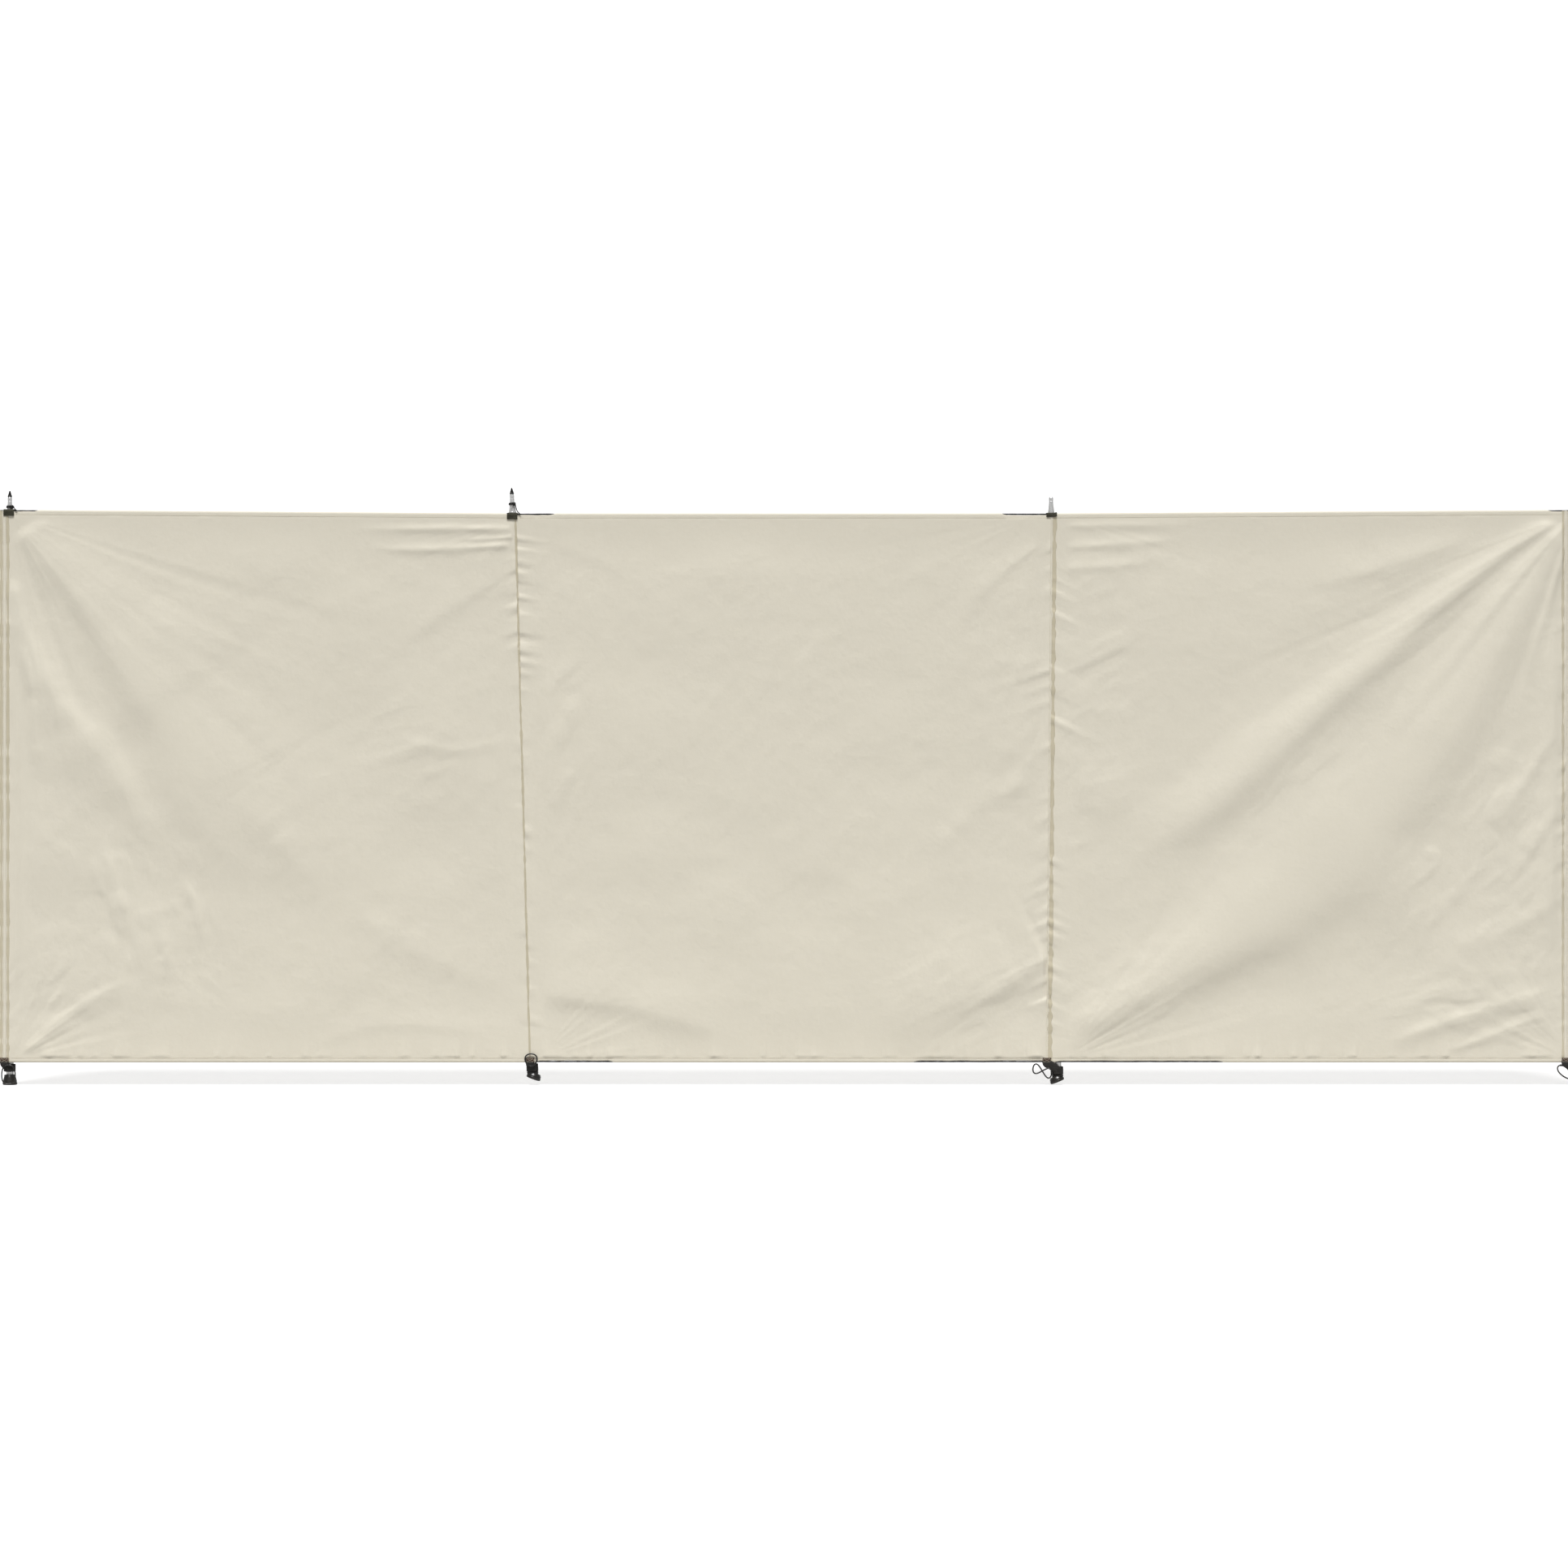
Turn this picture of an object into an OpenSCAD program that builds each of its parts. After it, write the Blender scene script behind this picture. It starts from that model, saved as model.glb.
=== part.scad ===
// Beach windbreak: three fabric bays on four posts, seen from its front at -Y.
// +X runs along the windbreak, +Z is up, and the origin is under the first post's foot.

/* [Bays] */
// Spacing of the posts along the windbreak
bay_w = 1333; // [900:1:1800]
// Height of the fabric from its bottom edge to its top edge at the middle posts
fabric_h = 1400; // [900:1:1700]
// Height of the fabric's bottom edge above the ground
hem_z = 58; // [58:1:90]
// How much higher the fabric's top corners are pulled at the two end posts
end_lift = 9; // [0:1:12]
// Thickness of a panel's slab, which its folds fill
panel_t = 4; // [3:0.5:8]

/* [Posts] */
// Outside diameter of a pole
pole_d = 19; // [15.5:0.5:22]
// Wall of a pole's tube
pole_wall = 1; // [0.8:0.1:2]
// How far each fabric sleeve's seams stand apart
sleeve_w = 60; // [50:1:90]
// Thickness of a sleeve's fabric round the pole
sleeve_t = 2; // [1:0.5:3]
// How far the second foot stands past even spacing
foot_shift_2 = 3; // [-20:1:20]
// How far the third foot stands past even spacing
foot_shift_3 = 10; // [-20:1:20]
// How far the second post's top leans back along the windbreak
lean_2 = 54; // [0:1:70]
// How far the third post's top leans back along the windbreak
lean_3 = 17; // [0:1:70]
// How much higher the second post stands than the first
rise_2 = 8; // [0:1:10]

/* [Spikes] */
// Height of the cone at a spike's base
spike_cone_h = 28; // [24:1:45]
// Diameter of a spike's straight pin
pin_d = 11; // [8:0.5:13]
// Length of a spike's straight pin
pin_l = 15; // [8:1:40]
// Length of the cap on a spike's tip
cap_l = 16; // [8:1:30]
// Diameter of the cord tied round a spike
tie_d = 3; // [2:0.5:4]

/* [Feet] */
// Diameter of a foot at its widest
foot_d = 37; // [34:1:37]
// Height of a foot
foot_h = 26; // [24:1:28]
// Thickness of rubber under the pole's end
foot_floor = 12; // [11:0.5:15]
// Turn of the second foot on its pole, in degrees
foot_turn_2 = 20; // [0:1:22]
// Turn of the third foot on its pole, in degrees
foot_turn_3 = -22; // [-22:1:0]

/* [Webbing] */
// Thickness of the webbing
web_t = 2; // [1:0.25:2.5]
// Width of a top tab
top_tab_w = 27; // [26:1:40]
// How far a top tab comes down the fabric
top_tab_drop = 17; // [10:1:40]
// Width of a hem tab
hem_tab_w = 22; // [14:1:30]
// Height of a hem tab
hem_tab_h = 11; // [8:1:30]
// Outside diameter of a pole strap's collar
collar_d = 31; // [27:0.5:31]
// Height of a pole strap's collar
collar_h = 22; // [12:1:22]

/* [Loops and cords] */
// Diameter of the cords in the hems
cord_d = 4; // [3:0.5:5]
// Diameter of the cord of a peg loop
loop_d = 3.6; // [3:0.2:4.5]
// Length of a peg loop that hangs straight
loop_l = 52; // [44:1:54]
// Width of a peg loop that hangs straight
loop_w = 38; // [30:1:42]

/* [Hidden] */
$fn = 48;

gap = 0.3;          // between pieces that only touch
sleeve_gap = 0.5;   // round a pole in its sleeve, strap or tab
last = 3;           // the posts are numbered 0 to 3 here, from -X

pole_r = pole_d / 2;
pole_bore_r = pole_r + sleeve_gap;
fabric_top = hem_z + fabric_h;
pole_top = fabric_top - 6;             // the tube's end, in the post's own frame
spike_base_h = 4;
pin_z = pole_top + spike_base_h + spike_cone_h;
tip_h = 2;
tip_z = pin_z + pin_l + tip_h;         // the steel's end

// Places of the posts, one value for each
foot_shift = [0, foot_shift_2, foot_shift_3, 0];
lean = [0, -lean_2, -lean_3, 0];
rise = [0, rise_2, 0, 0];
foot_turn = [0, foot_turn_2, foot_turn_3, 0];
collar_up = [6.5, 0, 0, 0];            // the first collar sits a little above its foot
seam_top = [-11, 8, 1, -28];           // from the pole's axis to the front seam, at the top
seam_bottom = [-11, -5, -28, -28];     // and at the bottom

// Rings of the peg loops that don't hang straight:
// [x from the seam's foot, height from the hem, turn, width, length]
flipped_ring = [3, 7, 0, loop_w - 4, loop_w - 3];      // up against the fabric
twisted_rings = [[-23, -15, 80, 22, 31], [-2, -28, 80, 22, 33]];      // a figure of eight
slanted_ring = [-3, -25, -48, loop_w - 13, loop_l - 2];

function foot_x(i) = i * bay_w + foot_shift[i];
function axis_x(i, z) = foot_x(i) + lean[i] * (z - rise[i]) / tip_z;
function top_z(i) = fabric_top + (i == 0 || i == last ? end_lift : 0);
function seam_x(i, at_top) = at_top
  ? axis_x(i, fabric_top) + seam_top[i]
  : axis_x(i, hem_z) + seam_bottom[i];

// Depths, as distances in front of the poles' axes. The tabs reach out as far as the feet, so that
// a peg loop hangs clear of its foot.
panel_back = max(pole_bore_r + sleeve_t + 0.5, foot_d / 2 - panel_t - gap - web_t);
panel_front = panel_back + panel_t;
cord_y = panel_back + panel_t / 2;
tab_back = panel_front + gap;
tab_front = tab_back + web_t;
loop_y = tab_front + 2 * gap + loop_d / 2;

// The edges of the panels stop at the cords in the hems
panel_z = hem_z + cord_d + gap;
panel_drop = cord_d + gap;

module at_post(i) {
  translate([foot_x(i), 0, rise[i]])
    rotate([0, atan2(lean[i], tip_z), 0])
      children();
}

// Extrudes an outline drawn in X and Z from one distance in front of the axes to a further one
module slab(from, to) {
  translate([0, -from, 0])
    rotate([90, 0, 0])
      linear_extrude(to - from)
        children();
}

// One bay's fabric: bay 0 is between posts 0 and 1
module panel(bay) {
  left_end = bay == 0;
  right_end = bay == last - 1;
  x0_low = left_end ? -sleeve_w / 2 : seam_x(bay, false);
  x0_high = left_end ? -sleeve_w / 2 : seam_x(bay, true);
  x1_low = right_end ? foot_x(last) + sleeve_w / 2 : seam_x(bay + 1, false);
  x1_high = right_end ? foot_x(last) + sleeve_w / 2 : seam_x(bay + 1, true);
  color([0.86, 0.83, 0.75])
    slab(panel_back, panel_front)
      polygon([
        [x0_low, panel_z],
        [x1_low, panel_z],
        [x1_high, top_z(bay + 1) - panel_drop],
        [x0_high, top_z(bay) - panel_drop]
      ]);
}

// A sleeve's fabric runs straight from each seam to the pole and round it
module sleeve(i) {
  outer_r = pole_bore_r + sleeve_t;
  touch_r = outer_r - 0.4;            // the straight cloth runs a little into the round part
  seam = [sleeve_w / 2, -panel_back + sleeve_t];
  turn = atan2(seam[1], seam[0]) + acos(touch_r / norm(seam));
  touch = touch_r * [cos(turn), sin(turn)];
  low = panel_z - rise[i];
  high = fabric_top - panel_drop - 2 - rise[i];
  color([0.84, 0.81, 0.73])
    at_post(i)
      translate([0, 0, low])
        linear_extrude(high - low)
          difference() {
            union() {
              circle(outer_r);
              polygon([
                [-sleeve_w / 2, -panel_back], [sleeve_w / 2, -panel_back],
                seam, touch, [-touch[0], touch[1]], [-seam[0], seam[1]]
              ]);
            }
            circle(pole_bore_r);
          }
}

module pole(i) {
  color([0.75, 0.76, 0.78])
    at_post(i)
      translate([0, 0, foot_floor])
        difference() {
          cylinder(h = pole_top - foot_floor, r = pole_r);
          translate([0, 0, -1])
            cylinder(h = pole_top - foot_floor + 2, r = pole_r - pole_wall);
        }
}

// A turned spike whose stem plugs the tube
module spike(i) {
  stem_l = 25;
  cone_r = pole_r - 0.5;
  pin_r = pin_d / 2;
  color([0.8, 0.81, 0.83])
    at_post(i)
      rotate_extrude()
        polygon([
          [0, pole_top - stem_l],
          [pole_r - pole_wall - gap, pole_top - stem_l],
          [pole_r - pole_wall - gap, pole_top],
          [pole_r, pole_top],
          [pole_r, pole_top + spike_base_h],
          [cone_r, pole_top + spike_base_h],
          [pin_r, pin_z],
          [pin_r, tip_z - tip_h],
          [pin_r - 1, tip_z],
          [0, tip_z]
        ]);
}

module spike_cap(i) {
  color([0.07, 0.07, 0.07])
    at_post(i)
      translate([0, 0, tip_z])
        rotate_extrude()
          polygon([[0, 0], [pin_d / 2, 0], [1.6, cap_l - 1.2], [0.8, cap_l], [0, cap_l]]);
}

// Two turns of cord on the spike's cone
module spike_tie(i) {
  turn_z = 18;
  cone_r = pole_r - 0.5;
  shrink = (cone_r - pin_d / 2) * turn_z / spike_cone_h;
  color([0.06, 0.06, 0.06])
    at_post(i)
      translate([0, 0, pole_top + spike_base_h + turn_z])
        rotate_extrude()
          for (up = [0, tie_d * 0.8])
            translate([cone_r - shrink + gap + tie_d / 2, up])
              circle(d = tie_d);
}

// Webbing folded over the top hem, with a hole for the spike
module top_tab(i) {
  x = axis_x(i, top_z(i));
  high = top_z(i) + gap + web_t;
  back = pole_bore_r + sleeve_t + gap;
  color([0.16, 0.16, 0.12])
    difference() {
      translate([x - top_tab_w / 2, -tab_front, high - top_tab_drop])
        cube([top_tab_w, tab_front + back + web_t, top_tab_drop]);
      translate([x - top_tab_w / 2 - 1, -tab_back, high - top_tab_drop - 1])
        cube([top_tab_w + 2, tab_back + back, top_tab_drop + 1 - web_t]);
      translate([x, 0, high - web_t - 1])
        cylinder(h = web_t + 2, r = pole_bore_r);
    }
}

module hem_tab(i) {
  x = seam_x(i, false);
  color([0.23, 0.13, 0.09])
    translate([x - hem_tab_w / 2, -tab_front, hem_z])
      cube([hem_tab_w, web_t, hem_tab_h]);
}

// The strap comes down from the hem tab, across to the pole, and round it
module pole_strap(i) {
  tab_x = seam_x(i, false);
  low = foot_h + gap + collar_up[i];
  low_world = low + rise[i];
  x = axis_x(i, low_world);
  half_w = 11;
  wide_z = hem_z - 7;                  // it keeps the tab's width down to here
  bridge_low = low_world + 8;          // the webbing joins the collar between these heights
  bridge_high = hem_z - 8;
  bore_top = max(low_world + collar_h + 1, hem_z);
  color([0.05, 0.05, 0.05])
    difference() {
      union() {
        at_post(i)
          translate([0, 0, low])
            cylinder(h = collar_h, d = collar_d);
        slab(tab_back, tab_front)
          polygon([
            [tab_x - hem_tab_w / 2, hem_z],
            [tab_x - hem_tab_w / 2, wide_z],
            [x - half_w, bridge_low],
            [x + half_w, bridge_low],
            [x + half_w, wide_z],
            [tab_x + hem_tab_w / 2, hem_z]
          ]);
        translate([x - half_w, -tab_front + web_t / 2, bridge_low])
          cube([2 * half_w, tab_front - web_t / 2, bridge_high - bridge_low]);
      }
      at_post(i)
        translate([0, 0, low - 1])
          cylinder(h = bore_top - low_world + 1, r = pole_bore_r);
    }
}

// A closed ring of cord with straight sides and round ends, standing in X and Z
module ring(w, l) {
  r = (w - loop_d) / 2;
  straight = l - w;
  for (end = [0, 1])
    mirror([0, 0, end])
      translate([0, 0, straight / 2])
        rotate([90, 0, 0])
          rotate_extrude(angle = 180)
            translate([r, 0])
              circle(d = loop_d);
  if (straight > 0)
    for (side = [-1, 1])
      translate([side * r, 0, -straight / 2])
        cylinder(h = straight, d = loop_d);
}

// Puts a ring's middle at x and z in front of the straps, turned in its own plane
module ring_at(x, z, turn, w, l) {
  translate([x, -loop_y, z])
    rotate([0, turn, 0])
      ring(w, l);
}

module seam_ring(i, place) {
  ring_at(seam_x(i, false) + place[0], hem_z + place[1], place[2], place[3], place[4]);
}

module peg_loop(i) {
  color([0.04, 0.04, 0.04])
    if (i == 0) {
      ring_at(foot_x(0), loop_l / 2 + 1, 0, loop_w, loop_l);
    } else if (i == 1) {
      seam_ring(i, flipped_ring);
    } else if (i == 2) {
      union() {
        seam_ring(i, twisted_rings[0]);
        seam_ring(i, twisted_rings[1]);
      }
    } else {
      seam_ring(i, slanted_ring);
    }
}

// A rubber foot: the socket keeps to the pole, and the cup below it may be turned
module foot(i) {
  cup_r = foot_d / 2;
  top_r = collar_d / 2 - 1.5;
  lift = cup_r * abs(sin(foot_turn[i]));
  color([0.05, 0.05, 0.05])
    difference() {
      union() {
        at_post(i)
          translate([0, 0, foot_floor])
            cylinder(h = foot_h - foot_floor, r = top_r);
        translate([foot_x(i), 0, rise[i] + lift])
          rotate([0, foot_turn[i], 0])
            rotate_extrude()
              polygon([
                [0, 0], [cup_r - 1.5, 0], [cup_r, 1.5], [cup_r, 8],
                [top_r + 0.5, foot_h - lift - 4], [0, foot_h - lift - 4]
              ]);
      }
      at_post(i)
        translate([0, 0, foot_floor])
          cylinder(h = foot_h, r = pole_r + gap);
    }
}

// A cord along a hem, through the height given for each post, with a short thick part where it
// bends. Its runs stop just short of that part's middle, so that they don't meet inside it.
module hem_cord(heights) {
  bend_d = cord_d + 0.4;
  bend_l = 6;
  short = 0.5;
  end_l = sleeve_w / 2 - 6;            // it stops just short of the fabric's ends
  route = [for (i = [0 : last])
    [axis_x(i, heights[i]) + (i == 0 ? -end_l : i == last ? end_l : 0), -cord_y, heights[i]]];
  color([0.05, 0.05, 0.05]) {
    for (i = [0 : last - 1]) {
      run = route[i + 1] - route[i];
      from = i == 0 ? 0 : short;
      to = norm(run) - (i == last - 1 ? 0 : short);
      translate(route[i])
        rotate([0, atan2(run[0], run[2]), 0])
          translate([0, 0, from])
            cylinder(h = to - from, d = cord_d);
    }
    for (i = [1 : last - 1])
      translate(route[i] - [bend_l / 2, 0, 0])
        rotate([0, 90, 0])
          cylinder(h = bend_l, d = bend_d);
  }
}

panel(0);  // panel_left
panel(1);  // panel_middle
panel(2);  // panel_right
for (i = [0 : last]) {
  sleeve(i);
  pole(i);
  spike(i);
  top_tab(i);
  hem_tab(i);
  pole_strap(i);
  peg_loop(i);
  foot(i);
}
for (i = [0, 1, 3]) {
  spike_cap(i);
  spike_tie(i);
}
hem_cord([for (i = [0 : last]) top_z(i) - cord_d / 2]);  // top_cord
hem_cord([for (i = [0 : last]) hem_z + cord_d / 2]);  // bottom_cord
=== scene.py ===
import math

import bpy
import numpy as np
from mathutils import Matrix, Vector


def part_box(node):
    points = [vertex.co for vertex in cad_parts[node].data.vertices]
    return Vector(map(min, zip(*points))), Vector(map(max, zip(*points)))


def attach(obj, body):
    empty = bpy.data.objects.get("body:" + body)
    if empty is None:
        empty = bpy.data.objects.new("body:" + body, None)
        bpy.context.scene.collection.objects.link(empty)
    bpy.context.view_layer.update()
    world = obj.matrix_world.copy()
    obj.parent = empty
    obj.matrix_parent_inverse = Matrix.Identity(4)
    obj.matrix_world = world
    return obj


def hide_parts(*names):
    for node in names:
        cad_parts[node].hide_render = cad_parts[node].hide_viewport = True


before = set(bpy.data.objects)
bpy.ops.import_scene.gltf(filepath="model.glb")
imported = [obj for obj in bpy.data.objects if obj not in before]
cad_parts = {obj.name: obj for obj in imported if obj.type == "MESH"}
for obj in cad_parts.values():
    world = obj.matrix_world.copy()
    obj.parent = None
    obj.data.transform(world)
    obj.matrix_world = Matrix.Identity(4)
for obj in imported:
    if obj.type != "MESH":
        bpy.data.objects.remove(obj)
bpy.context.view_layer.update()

# +X runs along the windbreak, +Z is up and -Y is its front. Lengths are in metres.
posts = (1, 2, 3, 4)
bays = ("left", "middle", "right")


# Places read from the frame

def nodeBox(name):
    low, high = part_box(name)
    return np.array(low), np.array(high)


def findAxis(post):  # both ends of a pole's centre line in x and z, as a post leans towards -X only
    low, high = nodeBox(f"pole_{post}")
    radius = (high[1] - low[1]) / 2
    return (high[0] - radius, low[2]), (low[0] + radius, high[2])


poleEnds = {post: findAxis(post) for post in posts}
poleRadius = (nodeBox("pole_1")[1][1] - nodeBox("pole_1")[0][1]) / 2
hemZ = nodeBox("hem_tab_1")[0][2]
webThick = nodeBox("hem_tab_1")[1][1] - nodeBox("hem_tab_1")[0][1]
topZ = {post: nodeBox(f"top_tab_{post}")[1][2] - webThick - 0.0003 for post in posts}
panelBox = {bay: nodeBox(f"panel_{bay}") for bay in bays}
baseY = panelBox["left"][1][1] - 0.0002        # the cloth's plane, just in front of the sleeves
clothEnds = (panelBox["left"][0][0], panelBox["right"][1][0])
cordY = (nodeBox("bottom_cord")[0][1] + nodeBox("bottom_cord")[1][1]) / 2
cordRadius = 0.002


def middleX(name):
    low, high = nodeBox(name)
    return (low[0] + high[0]) / 2


seamEnds = {                                   # x of each front seam at its bottom and top
    1: (middleX("hem_tab_1"), middleX("hem_tab_1")),
    2: (panelBox["left"][1][0], panelBox["middle"][0][0]),
    3: (panelBox["right"][0][0], panelBox["middle"][1][0]),
    4: (middleX("hem_tab_4"), middleX("hem_tab_4")),
}


def mix(a, b, t):
    return a + (b - a) * t


def smooth(t):
    t = np.clip(t, 0.0, 1.0)
    return t * t * (3 - 2 * t)


def axisX(post, z):
    (lowX, lowZ), (highX, highZ) = poleEnds[post]
    return mix(lowX, highX, (z - lowZ) / (highZ - lowZ))


def topAt(x):  # height of the cloth's top edge
    feet = [axisX(post, topZ[post]) for post in posts]
    return np.interp(x, feet, [topZ[post] for post in posts])


def seamX(post, z):
    low, high = seamEnds[post]
    return mix(low, high, (z - hemZ) / (topZ[post] - hemZ))


# Noise on arrays

noiseTables = {}


def valueNoise(x, y, seed):
    if seed not in noiseTables:
        noiseTables[seed] = np.random.default_rng(seed).uniform(-1, 1, (97, 97))
    table = noiseTables[seed]
    cellX = np.floor(x).astype(int)
    cellY = np.floor(y).astype(int)
    restX = x - cellX
    restY = y - cellY
    easeX = restX ** 3 * (restX * (restX * 6 - 15) + 10)
    easeY = restY ** 3 * (restY * (restY * 6 - 15) + 10)
    low = mix(table[cellX % 97, cellY % 97], table[(cellX + 1) % 97, cellY % 97], easeX)
    high = mix(table[cellX % 97, (cellY + 1) % 97], table[(cellX + 1) % 97, (cellY + 1) % 97], easeX)
    return mix(low, high, easeY)


def layered(x, y, seed, octaves=3):
    total = 0
    for level in range(octaves):
        total = total + valueNoise(x * 2 ** level + 7.3 * level, y * 2 ** level, seed + level) / 2 ** level
    return total


def lineNoise(x, seed):
    return valueNoise(np.asarray(x, float), np.zeros_like(np.asarray(x, float)) + 0.37, seed)


# Shader groups shared by the materials

def newGroup(name, inputs, outputs):
    group = bpy.data.node_groups.new(name, "ShaderNodeTree")
    for label, kind, value in inputs:
        socket = group.interface.new_socket(label, in_out="INPUT", socket_type=kind)
        socket.default_value = value
    for label, kind in outputs:
        group.interface.new_socket(label, in_out="OUTPUT", socket_type=kind)
    return group, group.nodes.new("NodeGroupInput"), group.nodes.new("NodeGroupOutput")


def mathNode(tree, operation, first, second=None, third=None):
    node = tree.nodes.new("ShaderNodeMath")
    node.operation = operation
    for index, value in enumerate((first, second, third)):
        if value is None:
            continue
        if isinstance(value, (int, float)):
            node.inputs[index].default_value = value
        else:
            tree.links.new(value, node.inputs[index])
    return node.outputs[0]


def mixColour(tree, factor, first, second):
    node = tree.nodes.new("ShaderNodeMix")
    node.data_type = "RGBA"
    for socket, value in ((node.inputs[0], factor), (node.inputs[6], first), (node.inputs[7], second)):
        if isinstance(value, (int, float, tuple)):
            socket.default_value = value
        else:
            tree.links.new(value, socket)
    return node.outputs[2]


def placeParts(tree):  # the object's own coordinates, whole and in three parts
    place = tree.nodes.new("ShaderNodeTexCoord")
    parts = tree.nodes.new("ShaderNodeSeparateXYZ")
    tree.links.new(place.outputs["Object"], parts.inputs[0])
    return place.outputs["Object"], parts.outputs


def makeWeaveGroup():  # threads over and under, with height from 0 to 1
    group, start, end = newGroup(
        "weave",
        [("Across", "NodeSocketFloat", 1000.0), ("Along", "NodeSocketFloat", 1000.0),
         ("Slant", "NodeSocketFloat", 0.0)],
        [("Height", "NodeSocketFloat")])
    parts = placeParts(group)[1]
    sideways = mathNode(group, "ADD", parts[0], parts[1])
    leaning = mathNode(group, "MULTIPLY_ADD", parts[2], start.outputs["Slant"], sideways)
    first = mathNode(group, "SINE", mathNode(group, "MULTIPLY", leaning, start.outputs["Across"]))
    second = mathNode(group, "SINE", mathNode(group, "MULTIPLY", parts[2], start.outputs["Along"]))
    product = mathNode(group, "MULTIPLY", first, second)
    group.links.new(mathNode(group, "MULTIPLY_ADD", product, 0.5, 0.5), end.inputs["Height"])
    return group


def makeMottleGroup():  # soft blotches at two sizes, from 0 to 1
    group, start, end = newGroup(
        "mottle",
        [("Size", "NodeSocketFloat", 10.0), ("Stretch", "NodeSocketVector", (1.0, 1.0, 1.0))],
        [("Broad", "NodeSocketFloat"), ("Fine", "NodeSocketFloat")])
    place = placeParts(group)[0]
    scaled = group.nodes.new("ShaderNodeVectorMath")
    scaled.operation = "MULTIPLY"
    group.links.new(place, scaled.inputs[0])
    group.links.new(start.outputs["Stretch"], scaled.inputs[1])
    for label, factor in (("Broad", 1.0), ("Fine", 14.0)):
        noise = group.nodes.new("ShaderNodeTexNoise")
        noise.inputs["Detail"].default_value = 4.0
        group.links.new(scaled.outputs[0], noise.inputs["Vector"])
        group.links.new(mathNode(group, "MULTIPLY", start.outputs["Size"], factor), noise.inputs["Scale"])
        group.links.new(noise.outputs[0], end.inputs[label])
    return group


def makeDustGroup():  # pale dust that gathers low down
    group, start, end = newGroup(
        "dust",
        [("Height", "NodeSocketFloat", 0.1), ("Amount", "NodeSocketFloat", 0.5)],
        [("Mask", "NodeSocketFloat")])
    place, parts = placeParts(group)
    noise = group.nodes.new("ShaderNodeTexNoise")
    noise.inputs["Scale"].default_value = 45.0
    noise.inputs["Detail"].default_value = 6.0
    group.links.new(place, noise.inputs["Vector"])
    near = mathNode(group, "SUBTRACT", 1.0, mathNode(group, "DIVIDE", parts[2], start.outputs["Height"]))
    near.node.use_clamp = True
    rough = mathNode(group, "MULTIPLY", near, noise.outputs[0])
    group.links.new(mathNode(group, "MULTIPLY", rough, start.outputs["Amount"]), end.inputs["Mask"])
    return group


weaveGroup = makeWeaveGroup()
mottleGroup = makeMottleGroup()
dustGroup = makeDustGroup()


def useGroup(tree, group, **values):
    node = tree.nodes.new("ShaderNodeGroup")
    node.node_tree = group
    for key, value in values.items():
        node.inputs[key].default_value = value
    return node.outputs


def newMaterial(name):
    material = bpy.data.materials.new(name)
    material.use_nodes = True
    tree = material.node_tree
    return material, tree, tree.nodes["Principled BSDF"]


def addBump(tree, surface, height, strength, distance, before=None):
    bump = tree.nodes.new("ShaderNodeBump")
    bump.inputs["Strength"].default_value = strength
    bump.inputs["Distance"].default_value = distance
    tree.links.new(height, bump.inputs["Height"])
    if before is not None:
        tree.links.new(before, bump.inputs["Normal"])
    tree.links.new(bump.outputs[0], surface.inputs["Normal"])
    return bump.outputs[0]


def varied(tree, value, low, high, socket):  # a mask from 0 to 1 drives a socket between two values
    tree.links.new(mathNode(tree, "MULTIPLY_ADD", value, high - low, low), socket)


def addDust(tree, surface, tone, look, amount):  # dust over a tone, as the surface's colour
    dust = useGroup(tree, dustGroup, Height=look["dustHeight"], Amount=amount)
    tree.links.new(mixColour(tree, dust["Mask"], tone, look["dustColour"]), surface.inputs["Base Color"])


canvasLook = {
    "colour": (0.735, 0.695, 0.594, 1.0),
    "deep": (0.690, 0.642, 0.520, 1.0),        # the tone it varies towards
    "seam": (0.575, 0.525, 0.400, 1.0),        # a darker seam tone with painted shade, for the strips beside the seams
    "seamShadeDeep": (0.500, 0.440, 0.310, 1.0),
    "threads": 5200.0,                         # radians of weave in a metre
    "weaveBump": 0.16,
    "roughness": (0.50, 0.62),
    "sheen": 0.18,
    "dust": 0.2,
    "dustHeight": 0.16,
    "dustColour": (0.56, 0.47, 0.33, 1.0),
}


def makeCanvas(name, colour, deep):
    material, tree, surface = newMaterial(name)
    mottle = useGroup(tree, mottleGroup, Size=6.0)
    weave = useGroup(tree, weaveGroup, Across=canvasLook["threads"], Along=canvasLook["threads"])
    blend = mathNode(tree, "MULTIPLY_ADD", mottle["Fine"], 0.35, 0.05)
    blend = mathNode(tree, "MULTIPLY_ADD", weave["Height"], 0.12, blend)
    addDust(tree, surface, mixColour(tree, blend, colour, deep), canvasLook, canvasLook["dust"])
    varied(tree, mottle["Broad"], *canvasLook["roughness"], surface.inputs["Roughness"])
    surface.inputs["Specular IOR Level"].default_value = 0.35
    surface.inputs["Sheen Weight"].default_value = canvasLook["sheen"]
    surface.inputs["Sheen Roughness"].default_value = 0.4
    soft = addBump(tree, surface, mottle["Fine"], 0.12, 0.004)
    addBump(tree, surface, weave["Height"], canvasLook["weaveBump"], 0.0003, soft)
    return material


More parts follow.
